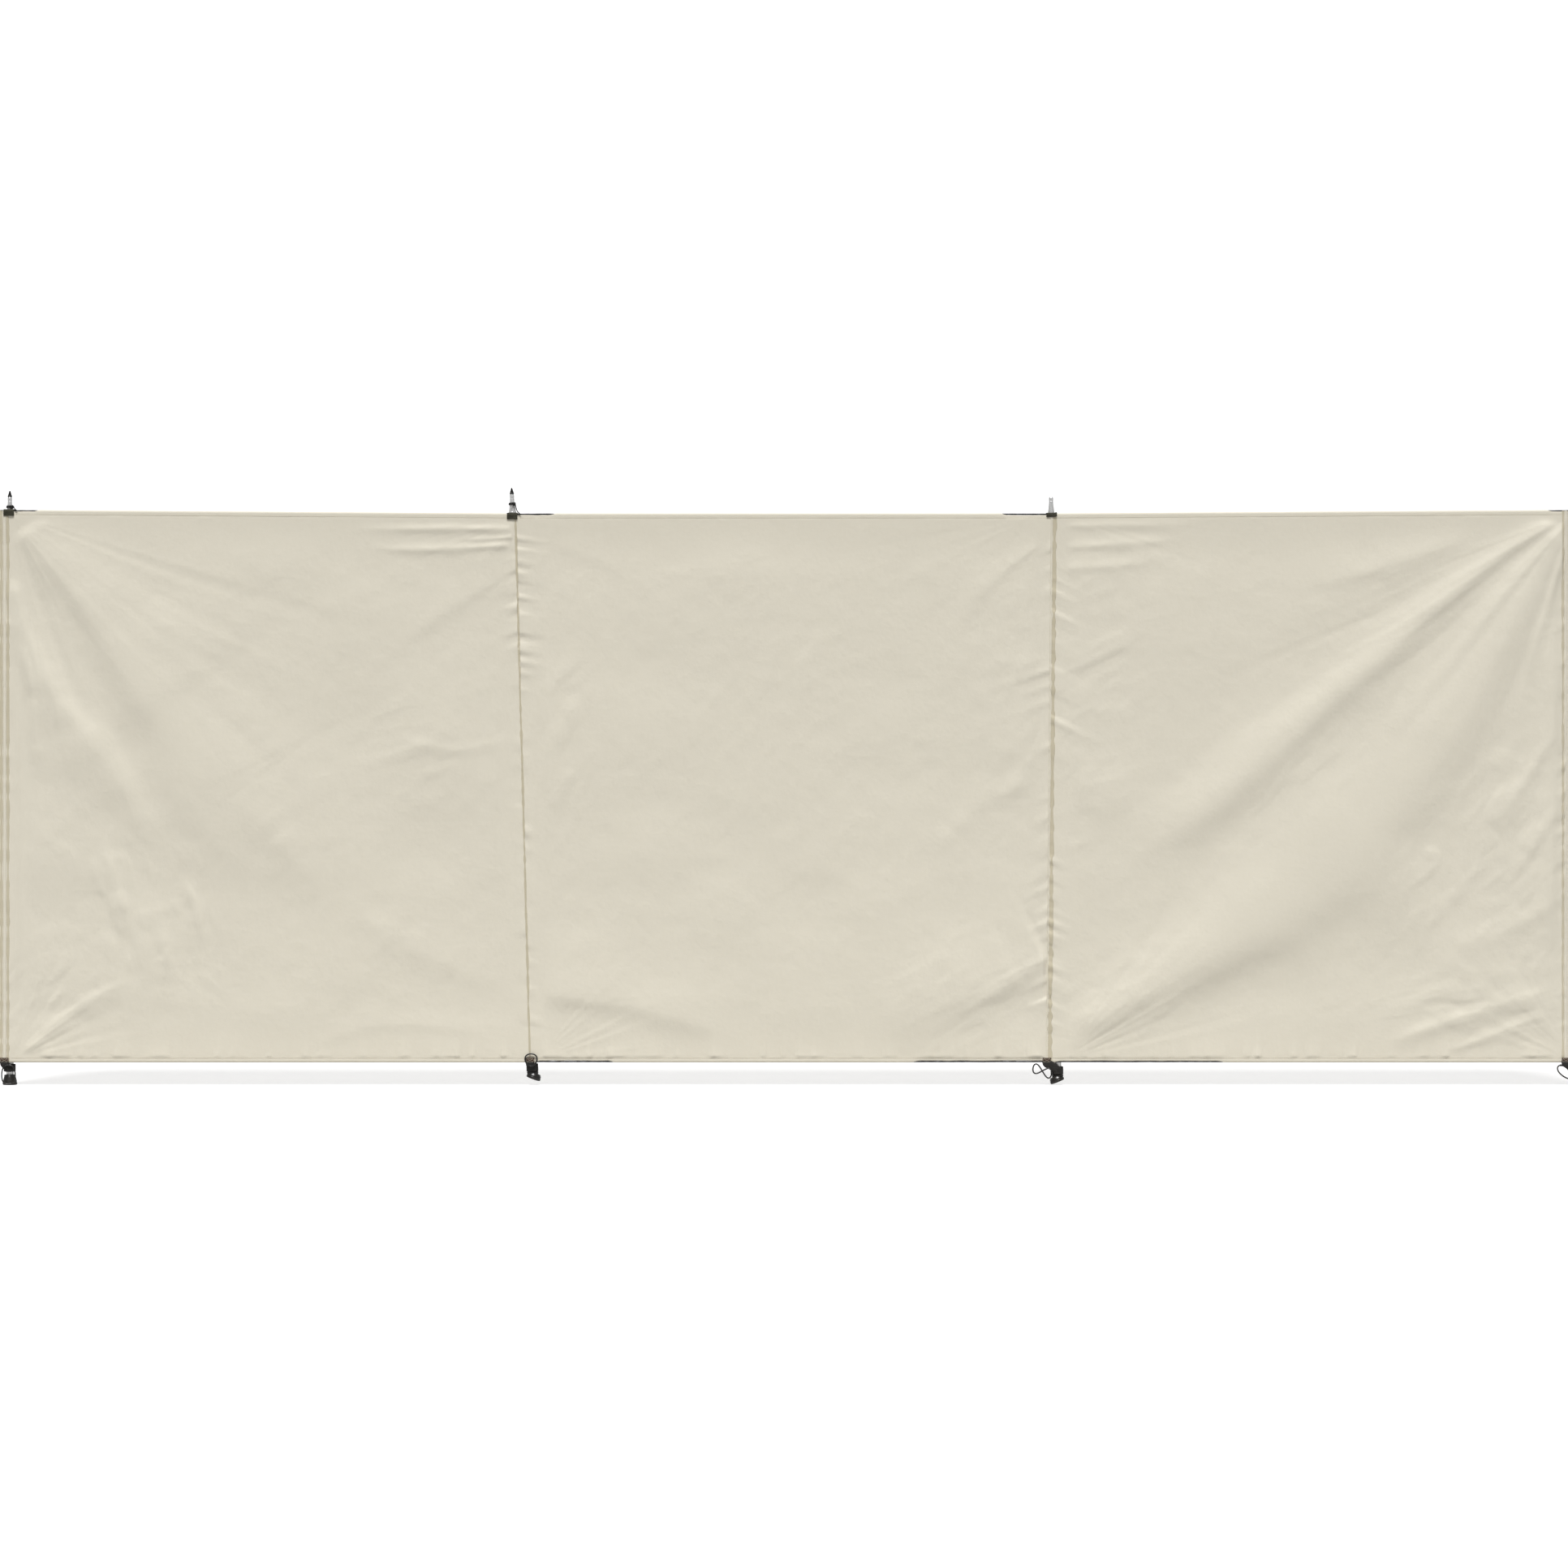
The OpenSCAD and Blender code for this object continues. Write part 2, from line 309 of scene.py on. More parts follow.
webbingLook = {
    "threads": (3600.0, 2600.0),               # radians of weave in a metre, across and along
    "bump": 0.7,
    "dustHeight": 0.09,
    "dustColour": (0.32, 0.27, 0.19, 1.0),
    "thread": ((0.66, 0.60, 0.46, 1.0), (0.54, 0.47, 0.34, 1.0)),
    "olive": ((0.014, 0.013, 0.007, 1.0), (0.048, 0.044, 0.022, 1.0)),
    "brown": ((0.026, 0.011, 0.007, 1.0), (0.085, 0.040, 0.025, 1.0)),
    "black": ((0.003, 0.003, 0.003, 1.0), (0.014, 0.013, 0.012, 1.0)),
}


def makeWebbing(name, colour, stripe, dusty=0.3, sheen=0.2, slant=0.0, coarse=1.0, rough=0.75):
    material, tree, surface = newMaterial(name)
    across, along = webbingLook["threads"]
    weave = useGroup(tree, weaveGroup, Across=across * coarse, Along=along * coarse, Slant=slant)
    mottle = useGroup(tree, mottleGroup, Size=40.0)
    shade = mathNode(tree, "MULTIPLY", mottle["Fine"], 0.5)
    shade = mathNode(tree, "MULTIPLY_ADD", weave["Height"], 0.5, shade)
    addDust(tree, surface, mixColour(tree, shade, colour, stripe), webbingLook, dusty)
    varied(tree, mottle["Broad"], rough - 0.1, rough + 0.1, surface.inputs["Roughness"])
    surface.inputs["Sheen Weight"].default_value = sheen
    addBump(tree, surface, weave["Height"], webbingLook["bump"], 0.0005)
    return material


steelLook = {
    "tones": ((0.72, 0.73, 0.74, 1.0), (0.88, 0.88, 0.88, 1.0)),
    "metallic": 0.5,
    "roughness": (0.14, 0.38),
    "dust": 0.3,
    "dustHeight": 0.08,
    "dustColour": (0.45, 0.41, 0.35, 1.0),
}


def makeSteel():
    material, tree, surface = newMaterial("bright_steel")
    mottle = useGroup(tree, mottleGroup, Size=30.0, Stretch=(1.0, 1.0, 0.06))
    addDust(tree, surface, mixColour(tree, mottle["Fine"], *steelLook["tones"]), steelLook, steelLook["dust"])
    surface.inputs["Metallic"].default_value = steelLook["metallic"]
    varied(tree, mottle["Fine"], *steelLook["roughness"], surface.inputs["Roughness"])
    addBump(tree, surface, mottle["Fine"], 0.06, 0.0004)
    return material


smoothLook = {
    "plastic": ((0.003, 0.003, 0.003, 1.0), (0.016, 0.016, 0.016, 1.0)),
    "rubber": ((0.004, 0.004, 0.004, 1.0), (0.022, 0.021, 0.020, 1.0)),
    "dust": 0.10,
    "dustHeight": 0.035,
    "dustColour": (0.30, 0.26, 0.20, 1.0),
}


def makeSmooth(name, colour, worn, roughness, bump, coat):  # plastic and rubber
    material, tree, surface = newMaterial(name)
    mottle = useGroup(tree, mottleGroup, Size=60.0)
    tone = mixColour(tree, mathNode(tree, "POWER", mottle["Fine"], 2.0), colour, worn)
    addDust(tree, surface, tone, smoothLook, smoothLook["dust"])
    varied(tree, mottle["Broad"], roughness - 0.1, roughness + 0.1, surface.inputs["Roughness"])
    surface.inputs["Coat Weight"].default_value = coat
    addBump(tree, surface, mottle["Fine"], bump, 0.0006)
    return material


cordLook = {
    "tones": ((0.003, 0.003, 0.003, 1.0), (0.020, 0.019, 0.018, 1.0)),
    "threads": 2600.0,
}


def makeCord():
    material, tree, surface = newMaterial("black_cord")
    weave = useGroup(tree, weaveGroup, Across=cordLook["threads"], Along=cordLook["threads"], Slant=1.0)
    tone = mixColour(tree, weave["Height"], *cordLook["tones"])
    tree.links.new(tone, surface.inputs["Base Color"])
    varied(tree, weave["Height"], 0.55, 0.75, surface.inputs["Roughness"])
    addBump(tree, surface, weave["Height"], 0.8, 0.0006)
    return material


canvas = makeCanvas("cream_canvas", canvasLook["colour"], canvasLook["deep"])
# the seams' darker canvas carries painted shade over a slightly darker seam tone
seamShadeCanvas = makeCanvas("seam_shade_canvas", canvasLook["seam"], canvasLook["seamShadeDeep"])
thread = makeWebbing("cream_thread", *webbingLook["thread"], slant=0.8, coarse=2.0, rough=0.6)
oliveWebbing = makeWebbing("olive_webbing", *webbingLook["olive"], dusty=0.08, sheen=0.04)
brownWebbing = makeWebbing("brown_webbing", *webbingLook["brown"], dusty=0.12, sheen=0.05)
blackWebbing = makeWebbing("black_webbing", *webbingLook["black"], dusty=0.06, sheen=0.03)
steel = makeSteel()
plastic = makeSmooth("black_plastic", *smoothLook["plastic"], roughness=0.25, bump=0.05, coat=0.3)
rubber = makeSmooth("black_rubber", *smoothLook["rubber"], roughness=0.38, bump=0.15, coat=0.15)
cord = makeCord()
print("materials made")


# Mesh building

def newObject(name, data):
    item = bpy.data.objects.new(name, data)
    bpy.context.scene.collection.objects.link(item)
    return item


def makePiece(name, points, faces, material, uv=None):
    mesh = bpy.data.meshes.new(name)
    mesh.from_pydata(np.asarray(points, float).tolist(), [], faces)
    mesh.validate()
    mesh.materials.append(material)
    mesh.polygons.foreach_set("use_smooth", [True] * len(mesh.polygons))
    if uv is not None:
        layer = mesh.uv_layers.new(name="OFBake")
        order = np.zeros(len(mesh.loops), int)
        mesh.loops.foreach_get("vertex_index", order)
        layer.data.foreach_set("uv", np.asarray(uv, float)[order].ravel())
    mesh.update()
    piece = newObject(name, mesh)
    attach(piece, "root")
    return piece


def gridFaces(rows, cols, closedRows=False, closedCols=False):
    index = np.arange(rows * cols).reshape(rows, cols)
    if closedCols:
        index = np.hstack([index, index[:, :1]])
    if closedRows:
        index = np.vstack([index, index[:1]])
    quads = np.stack([index[:-1, :-1], index[:-1, 1:], index[1:, 1:], index[1:, :-1]], -1)
    return quads.reshape(-1, 4).tolist()


def gridPiece(name, points, material):  # points holds the places of each row
    rows, cols = points.shape[:2]
    across, down = np.meshgrid(np.linspace(0.002, 0.998, cols), np.linspace(0.002, 0.998, rows))
    uv = np.stack([across, down], -1).reshape(-1, 2)
    return makePiece(name, points.reshape(-1, 3), gridFaces(rows, cols), material, uv)


class Shape:  # gathers the parts of one piece
    def __init__(self):
        self.points = []
        self.faces = []
        self.size = 0

    def add(self, points, faces):
        points = np.asarray(points, float).reshape(-1, 3)
        self.points.append(points)
        self.faces += [[index + self.size for index in face] for face in faces]
        self.size += len(points)

    def make(self, name, material):
        return makePiece(name, np.vstack(self.points), self.faces, material)


def unit(vectors):
    return vectors / np.maximum(np.linalg.norm(vectors, axis=-1, keepdims=True), 1e-12)


def smoothPath(corners, count, closed=False):  # a curve through the corners, evenly spaced
    corners = np.asarray(corners, float)
    if closed:
        held = np.vstack([corners[-1:], corners, corners[:2]])
    else:
        held = np.vstack([2 * corners[:1] - corners[1:2], corners, 2 * corners[-1:] - corners[-2:-1]])
    dense = []
    for index in range(len(held) - 3):
        a, b, c, d = held[index:index + 4]
        t = np.linspace(0, 1, 24, endpoint=False)[:, None]
        dense.append(0.5 * (2 * b + (c - a) * t + (2 * a - 5 * b + 4 * c - d) * t ** 2
                            + (3 * b - a - 3 * c + d) * t ** 3))
    dense.append(held[-2:-1])
    dense = np.vstack(dense)
    far = np.concatenate([[0], np.cumsum(np.linalg.norm(np.diff(dense, axis=0), axis=1))])
    want = np.linspace(0, far[-1], count + 1 if closed else count)
    path = np.stack([np.interp(want, far, dense[:, k]) for k in range(dense.shape[1])], -1)
    return path[:-1] if closed else path


def carriedSides(path, closed=False):  # two directions across a path that turn as little as they can
    ahead = np.roll(path, -1, axis=0) - np.roll(path, 1, axis=0) if closed else np.gradient(path, axis=0)
    ahead = unit(ahead)
    side = np.cross(ahead[0], [0.3, 0.1, 1.0])
    side /= np.linalg.norm(side)
    sides = []
    for direction in ahead:
        side = side - direction * np.dot(side, direction)
        side /= np.linalg.norm(side)
        sides.append(side)
    sides = np.array(sides)
    if closed:
        turn = math.atan2(np.dot(np.cross(sides[-1], sides[0]), ahead[0]), np.dot(sides[-1], sides[0]))
        angles = np.linspace(0, turn, len(path))[:, None]
        sides = sides * np.cos(angles) + np.cross(ahead, sides) * np.sin(angles)
    return sides, np.cross(ahead, sides)


def sweep(shape, path, sides, ups, section, closed=False):  # section is (side, up) for each corner
    section = np.asarray(section, float)
    if section.ndim == 2:
        section = np.repeat(section[None], len(path), axis=0)
    points = path[:, None] + sides[:, None] * section[..., :1] + ups[:, None] * section[..., 1:]
    cols = points.shape[1]
    faces = gridFaces(len(path), cols, closed, True)
    if not closed:
        faces.append(list(range(cols - 1, -1, -1)))
        faces.append([(len(path) - 1) * cols + index for index in range(cols)])
    shape.add(points, faces)


def circleSection(radius, sides=12):
    angles = np.arange(sides) * 2 * math.pi / sides
    return np.stack([np.cos(angles), np.sin(angles)], -1) * radius


def bandSection(width, thick, bulge=0.0):  # a strap's cross-section with rounded edges
    half = width / 2 - thick / 2
    run = np.linspace(-half, half, 7)
    swell = bulge * (1 - (run / half) ** 2)
    turn = np.linspace(-math.pi / 2, math.pi / 2, 5)[1:-1]
    right = np.stack([half + np.cos(turn) * thick / 2, np.sin(turn) * thick / 2], -1)
    lower = np.stack([run, -thick / 2 + swell], -1)
    upper = np.stack([run[::-1], thick / 2 + swell[::-1]], -1)
    return np.vstack([lower, right, upper, -right])


def tube(shape, path, radius, sides=12, closed=False):
    path = np.asarray(path, float)
    across, up = carriedSides(path, closed)
    sizes = np.broadcast_to(np.asarray(radius, float), (len(path),))
    section = circleSection(1.0, sides)[None] * sizes[:, None, None]
    sweep(shape, path, across, up, section, closed)


def lathe(shape, profile, place, sides=48):  # profile is (radius, height); place turns local to frame
    profile = np.asarray(profile, float)
    angles = np.arange(sides) * 2 * math.pi / sides
    rings = np.stack([profile[:, :1] * np.cos(angles), profile[:, :1] * np.sin(angles),
                      np.repeat(profile[:, 1:], sides, axis=1)], -1)
    faces = gridFaces(len(profile), sides, False, True)
    faces.append(list(range(sides - 1, -1, -1)))
    faces.append([(len(profile) - 1) * sides + index for index in range(sides)])
    shape.add(place(rings.reshape(-1, 3)), faces)


def roundedProfile(corners, radius, steps=4):  # rounds the inner corners of a profile
    corners = [np.array(corner, float) for corner in corners]
    out = [corners[0]]
    for before, here, after in zip(corners, corners[1:], corners[2:]):
        back = here - before
        on = after - here
        reach = min(radius, np.linalg.norm(back) * 0.45, np.linalg.norm(on) * 0.45)
        first = here - back / np.linalg.norm(back) * reach
        final = here + on / np.linalg.norm(on) * reach
        for t in np.linspace(0, 1, steps + 1):
            out.append((1 - t) ** 2 * first + 2 * t * (1 - t) * here + t ** 2 * final)
    out.append(corners[-1])
    return np.array(out)


def postFrame(post):  # a function from a post's own places, with z along its pole, to the frame
    (lowX, lowZ), (highX, highZ) = poleEnds[post]
    along = np.array([highX - lowX, 0.0, highZ - lowZ])
    along /= np.linalg.norm(along)
    across = np.array([along[2], 0.0, -along[0]])
    foot = np.array([lowX, 0.0, lowZ]) - along * (lowZ - nodeBox(f"foot_{post}")[0][2]) / along[2]

    def place(points):
        points = np.asarray(points, float)
        return foot + points[..., :1] * across + points[..., 1:2] * np.array([0.0, 1.0, 0.0]) \
            + points[..., 2:] * along
    return place


placeOn = {post: postFrame(post) for post in posts}


def alongPole(post):
    return placeOn[post](np.array([0, 0, 1.0])) - placeOn[post](np.array([0, 0, 0.0]))


def everywhere(direction, path):  # one direction for each point of a path
    return np.repeat([direction], len(path), axis=0)


# The cloth's relief, in metres in front of its plane

clothLook = {
    "columns": 308,
    "rows": 278,
    "hemHeight": 0.012,
    "stitchLine": 0.0112,      # a hem's stitches, in from its edge
    "flatEdge": 0.010,         # no relief this near an edge
    "billow": 0.0035,          # broad swells of the whole cloth
    "ripple": 0.00045,         # the small unevenness everywhere
    "crumple": 0.0024,         # creases in the crumpled places
    "foldScale": 1.0,
    "hemFront": 0.0024,        # how far in front of the cord the cloth lies at a hem's stitches
    "bottomPucker": 0.0042,    # the puckers over each hem
    "topPucker": 0.0010,
    "mostRelief": 0.0230,
}

# Folds by bay: the crest as (share of the width, share of the height), how wide the fold falls away
# below and above it and how high it is in mm, what scales the widths at even steps along it, and how
# much of each end tapers off
folds = {
    "left": [
        ([(0.02, 0.975), (0.075, 0.905), (0.14, 0.84), (0.19, 0.77), (0.25, 0.68), (0.31, 0.59),
          (0.36, 0.475), (0.435, 0.385), (0.5, 0.3)], 92, 220, 20, (0.22, 0.75, 1.15), (0.03, 0.34)),
        ([(0.005, 0.885), (0.025, 0.8), (0.055, 0.725), (0.095, 0.655), (0.15, 0.59), (0.205, 0.51),
          (0.285, 0.405), (0.335, 0.345)], 90, 54, 13, (0.24, 0.7, 1.1), (0.05, 0.45)),
        ([(0.02, 0.77), (0.045, 0.68), (0.05, 0.58), (0.07, 0.5)], 20, 24, 4.5, (0.7, 1.2), (0.2, 0.4)),
        ([(0.016, 0.7), (0.014, 0.4), (0.014, 0.1)], 11, 9, 2.6, (1, 1), (0.2, 0.2)),
        ([(0.25, 0.83), (0.32, 0.77), (0.39, 0.72)], 22, 40, 2.6, (0.8, 1.2), (0.4, 0.5)),
        ([(0.42, 0.5), (0.52, 0.4), (0.63, 0.27)], 46, 60, 4.0, (0.8, 1.2), (0.4, 0.5)),
        ([(0.6, 0.32), (0.75, 0.22), (0.95, 0.13)], 40, 60, 3.4, (0.8, 1.1), (0.4, 0.3)),
        ([(0.18, 0.41), (0.205, 0.32), (0.235, 0.23)], 18, 12, 4.0, (0.8, 1.2), (0.3, 0.4)),
        ([(0.335, 0.345), (0.36, 0.27), (0.37, 0.2)], 18, 13, 3.8, (0.8, 1.2), (0.3, 0.4)),
        ([(0.29, 0.27), (0.3, 0.2), (0.3, 0.14)], 16, 12, 3.2, (1, 1), (0.4, 0.4)),
        ([(0.02, 0.01), (0.115, 0.09), (0.2, 0.135), (0.27, 0.15)], 26, 12, 4.5, (0.5, 1.3), (0.1, 0.5)),
        ([(0.64, 0.97), (0.8, 0.972), (0.965, 0.972)], 12, 12, 3.0, (1, 0.8), (0.5, 0.06)),
        ([(0.66, 0.938), (0.8, 0.934), (0.96, 0.942)], 13, 13, 3.2, (1, 0.8), (0.5, 0.06)),
        ([(0.86, 0.952), (0.91, 0.953), (0.965, 0.957)], 6, 7, 2.0, (1, 0.9), (0.4, 0.06)),
        ([(0.97, 0.9), (0.8, 0.8), (0.66, 0.7)], 30, 60, 2.2, (0.3, 1.2), (0.1, 0.6)),
        ([(0.72, 0.6), (0.84, 0.57), (0.97, 0.59)], 18, 14, 1.8, (1, 0.8), (0.4, 0.3)),
        ([(0.55, 0.02), (0.72, 0.07), (0.95, 0.05)], 20, 40, 1.8, (1, 0.8), (0.4, 0.4)),
    ],
    "middle": [
        ([(0.985, 0.195), (0.9, 0.155), (0.79, 0.11), (0.62, 0.05)],
         56, 120, 9.5, (0.8, 1.2), (0.05, 0.45)),
        ([(0.01, 0.125), (0.11, 0.115), (0.22, 0.095), (0.33, 0.065), (0.42, 0.035)],
         34, 90, 5.0, (0.7, 1.2), (0.1, 0.4)),
        ([(0.03, 0.95), (0.16, 0.9), (0.3, 0.83)], 30, 50, 1.4, (0.5, 1.4), (0.1, 0.5)),
        ([(0.97, 0.95), (0.86, 0.86), (0.78, 0.74)], 20, 34, 1.7, (0.5, 1.4), (0.1, 0.5)),
        ([(0.97, 0.52), (0.86, 0.47), (0.74, 0.36)], 30, 40, 1.6, (0.5, 1.4), (0.2, 0.5)),
        ([(0.3, 0.5), (0.42, 0.47), (0.52, 0.48)], 50, 60, 1.8, (1, 1), (0.4, 0.4)),
    ],
    "right": [
        ([(0.965, 0.99), (0.87, 0.935), (0.785, 0.87), (0.7, 0.805), (0.62, 0.735), (0.52, 0.655),
          (0.43, 0.575), (0.32, 0.485), (0.22, 0.415), (0.11, 0.35)],
         56, 76, 18, (0.2, 0.7, 1.15), (0.03, 0.3)),
        ([(0.98, 0.98), (0.91, 0.86), (0.84, 0.74), (0.775, 0.63), (0.7, 0.535), (0.63, 0.455),
          (0.55, 0.37), (0.45, 0.285), (0.33, 0.215), (0.2, 0.145), (0.08, 0.08), (0.015, 0.035)],
         104, 140, 25, (0.24, 0.62, 0.98, 0.8, 0.24), (0.03, 0.06)),
        ([(0.985, 0.985), (0.9, 0.9), (0.8, 0.79), (0.71, 0.69)], 20, 26, 4.0, (0.4, 1.2), (0.04, 0.6)),
        ([(0.988, 0.97), (0.945, 0.84), (0.9, 0.7), (0.865, 0.58)], 20, 20, 4.0, (0.4, 1.2), (0.04, 0.6)),
        ([(0.955, 0.83), (0.953, 0.6), (0.95, 0.38), (0.945, 0.16)], 20, 24, 7.0, (1, 1), (0.2, 0.3)),
        ([(0.62, 0.03), (0.77, 0.08), (0.94, 0.13)], 34, 22, 5.0, (0.8, 1.0), (0.3, 0.2)),
        ([(0.74, 0.015), (0.85, 0.055), (0.955, 0.092)], 18, 14, 3.0, (0.8, 1.0), (0.3, 0.2)),
        ([(0.01, 0.978), (0.15, 0.982), (0.32, 0.988)], 16, 16, 2.4, (0.6, 1.2), (0.1, 0.5)),
        ([(0.01, 0.938), (0.14, 0.945), (0.28, 0.957)], 16, 18, 2.6, (0.6, 1.2), (0.1, 0.6)),
        ([(0.01, 0.9), (0.12, 0.905), (0.23, 0.925)], 16, 20, 2.2, (0.6, 1.2), (0.1, 0.6)),
        ([(0.44, 0.86), (0.6, 0.895), (0.8, 0.955)], 26, 40, 3.6, (1.1, 0.7), (0.4, 0.2)),
        ([(0.97, 0.62), (0.89, 0.5), (0.8, 0.4)], 22, 26, 4.0, (0.6, 1.2), (0.2, 0.5)),
        ([(0.97, 0.48), (0.9, 0.37), (0.83, 0.29)], 22, 24, 3.6, (0.6, 1.2), (0.2, 0.5)),
        ([(0.97, 0.3), (0.86, 0.24), (0.72, 0.2)], 34, 30, 3.6, (0.6, 1.3), (0.2, 0.5)),
    ],
}

# Crumpled patches: (share of the width, share of the height), reach on each side in metres, strength
# and the direction of their creases in degrees
crumples = {
    "left": [((0.80, 0.56), (0.24, 0.18), 0.5, 20), ((0.96, 0.90), (0.10, 0.16), 0.8, 60),
             ((0.24, 0.26), (0.26, 0.30), 1.1, -75), ((0.06, 0.10), (0.16, 0.16), 1.0, 50)],
    "middle": [((0.06, 0.60), (0.08, 0.60), 0.6, 60), ((0.93, 0.60), (0.10, 0.50), 0.6, 70),
               ((0.85, 0.12), (0.24, 0.14), 0.9, 30), ((0.50, 0.55), (0.50, 0.50), 0.22, 50)],
    "right": [((0.82, 0.36), (0.26, 0.38), 1.1, 52), ((0.08, 0.62), (0.12, 0.40), 0.8, 30),
              ((0.80, 0.09), (0.30, 0.10), 1.0, 15), ((0.10, 0.10), (0.18, 0.12), 0.8, 40),
              ((0.45, 0.50), (0.24, 0.24), 0.6, 50)],
}

# Streaks that fan out from a corner: (share of the width, share of the height), the range of their
# directions in degrees, how many there are in a radian, mm high, and how far out they fade away in metres
fans = {
    "left": [((0.0, 1.0), (-86, -38), 9, 2.0, 1.60), ((0.0, 1.0), (-88, -16), 18, 0.8, 1.4),
             ((0.0, 0.0), (12, 70), 13, 1.8, 0.40), ((1.0, 1.0), (182, 205), 24, 0.6, 0.50)],
    "middle": [((1.0, 0.20), (190, 222), 14, 0.9, 0.60), ((0.0, 0.0), (8, 60), 16, 0.8, 0.45),
               ((0.97, 1.0), (185, 250), 14, 0.4, 0.7)],
    "right": [((0.99, 1.0), (206, 264), 8, 2.4, 1.60), ((0.99, 1.0), (198, 268), 18, 1.1, 1.40),
              ((0.0, 0.0), (12, 60), 16, 1.3, 0.80), ((0.0, 1.0), (-30, -2), 20, 0.8, 0.6),
              ((1.0, 0.0), (120, 172), 12, 1.3, 0.55)],
}

# Puckers drawn in by a seam: post, side, lowest and highest share of the height, pitch and reach
# in metres, mm high, and how far they lean
puckers = [
    (2, 1, 0.66, 0.98, 0.015, 0.040, 7.0, 0.15),
    (2, -1, 0.66, 0.97, 0.020, 0.028, 4.5, 0.3),
    (2, 1, 0.03, 0.62, 0.024, 0.028, 4.0, 0.2),
    (2, -1, 0.04, 0.62, 0.028, 0.026, 3.0, -0.2),
    (3, -1, 0.55, 0.75, 0.020, 0.090, 6.0, 0.35),
    (3, -1, 0.08, 0.50, 0.018, 0.045, 6.0, 0.4),
    (3, 1, 0.50, 0.92, 0.018, 0.075, 6.0, 0.5),
    (3, 1, 0.04, 0.46, 0.016, 0.040, 6.5, 0.4),
    (3, 1, 0.06, 0.26, 0.030, 0.016, 6.0, 0.2),
    (3, -1, 0.78, 0.97, 0.028, 0.030, 3.5, 0.3),
    (1, 1, 0.05, 0.95, 0.024, 0.026, 3.5, 0.2),
    (4, -1, 0.05, 0.95, 0.024, 0.030, 4.0, 0.4),
]


def bayPlace(bay, share):  # a share of the bay's width and height as x and z
    first = bays.index(bay) + 1
    left = poleEnds[first][0][0]
    right = poleEnds[first + 1][0][0]
    height = topZ[2] - hemZ
    return mix(left, right, share[0]), hemZ + share[1] * height


def strokeField(path, x, z):  # signed distance from a line, positive above it, and the share along it
    side = -1.0 if path[0][0] - path[-1][0] >= 1e-6 else 1.0
    lengths = np.linalg.norm(np.diff(path, axis=0), axis=1)
    starts = np.concatenate([[0], np.cumsum(lengths)])
    nearest = np.full(x.shape, 1e9)
    signed = np.zeros(x.shape)
    share = np.zeros(x.shape)
    for index, length in enumerate(lengths):
        ahead = (path[index + 1] - path[index]) / length
        offX = x - path[index][0]
        offZ = z - path[index][1]
        run = np.clip(offX * ahead[0] + offZ * ahead[1], 0, length)
        gapX = offX - run * ahead[0]
        gapZ = offZ - run * ahead[1]
        far = np.hypot(gapX, gapZ)
        over = far < nearest
        nearest = np.where(over, far, nearest)
        cross = ahead[0] * offZ - ahead[1] * offX
        signed = np.where(over, np.where(cross * side >= 0, far, -far), signed)
        share = np.where(over, (starts[index] + run) / starts[-1], share)
    return signed, share


def foldRelief(bay, x, z):
    total = np.zeros(x.shape)
    for number, (crest, below, above, high, grow, fade) in enumerate(folds[bay]):
        path = smoothPath([bayPlace(bay, share) for share in crest], 22)
        signed, share = strokeField(path, x, z)
        wander = 1 + 0.28 * lineNoise(share * 9 + number * 3.1, 40 + number)
        grown = np.interp(share, np.linspace(0, 1, len(grow)), grow)
        width = np.where(signed > 0, above, below) * (grown * wander / 1000)
        shape = np.exp(-(np.abs(signed) / width) ** 1.8)
        ends = smooth(share / fade[0]) * smooth((1 - share) / fade[1])
        uneven = 1 + 0.22 * lineNoise(share * 13 + number, 60 + number)
        tall = high / 1000 * np.minimum(1.35 * grown, 1)
        total += tall * shape * ends * uneven
    return total * clothLook["foldScale"]


def crumpleRelief(bay, x, z):
    total = np.zeros(x.shape)
    for number, (share, reach, strength, lean) in enumerate(crumples[bay]):
        centreX, centreZ = bayPlace(bay, share)
        away = ((x - centreX) / reach[0]) ** 2 + ((z - centreZ) / reach[1]) ** 2
        turn = math.radians(lean)
        along = x * math.cos(turn) + z * math.sin(turn)
        across = z * math.cos(turn) - x * math.sin(turn)
        bend = 0.6 * valueNoise(x / 0.11, z / 0.11, 16 + number)
        creases = np.zeros(x.shape)
        for size, seed, amount in ((0.046, 11, 1.0), (0.022, 23, 0.45)):
            wave = valueNoise(along / size / 2.4 + bend, across / size - bend, seed + 7 * number)
            creases += amount * np.clip(0.1 + 1.3 * wave, 0, 1) ** 1.3
        total += strength * creases * np.exp(-away * 1.4)
    return clothLook["crumple"] * total


def fanRelief(bay, x, z):
    total = np.zeros(x.shape)
    for number, (corner, (low, high), count, tall, reach) in enumerate(fans[bay]):
        cornerX, cornerZ = bayPlace(bay, corner)
        far = np.hypot(x - cornerX, z - cornerZ)
        angle = np.degrees(np.arctan2(z - cornerZ, x - cornerX))
        angle = np.where(angle < low - 60, angle + 360, angle)
        within = smooth((angle - low) / 12 + 0.5) * smooth((high - angle) / 12 + 0.5)
        bend = 0.055 * valueNoise(x / 0.34, z / 0.34, 160 + number)
        around = np.radians(angle) + bend * np.minimum(far, 0.8)
        wave = valueNoise(around * count, far / 0.70, 170 + number)
        wave = wave + 0.4 * valueNoise(around * count * 2.1, far / 0.40, 180 + number)
        sized = smooth(far / 0.12) * smooth((reach - far) / (0.75 * reach))
        sized = sized * np.minimum(far / 0.6 + 0.20, 1.0)
        total += tall / 1000 * wave * within * sized
    return total


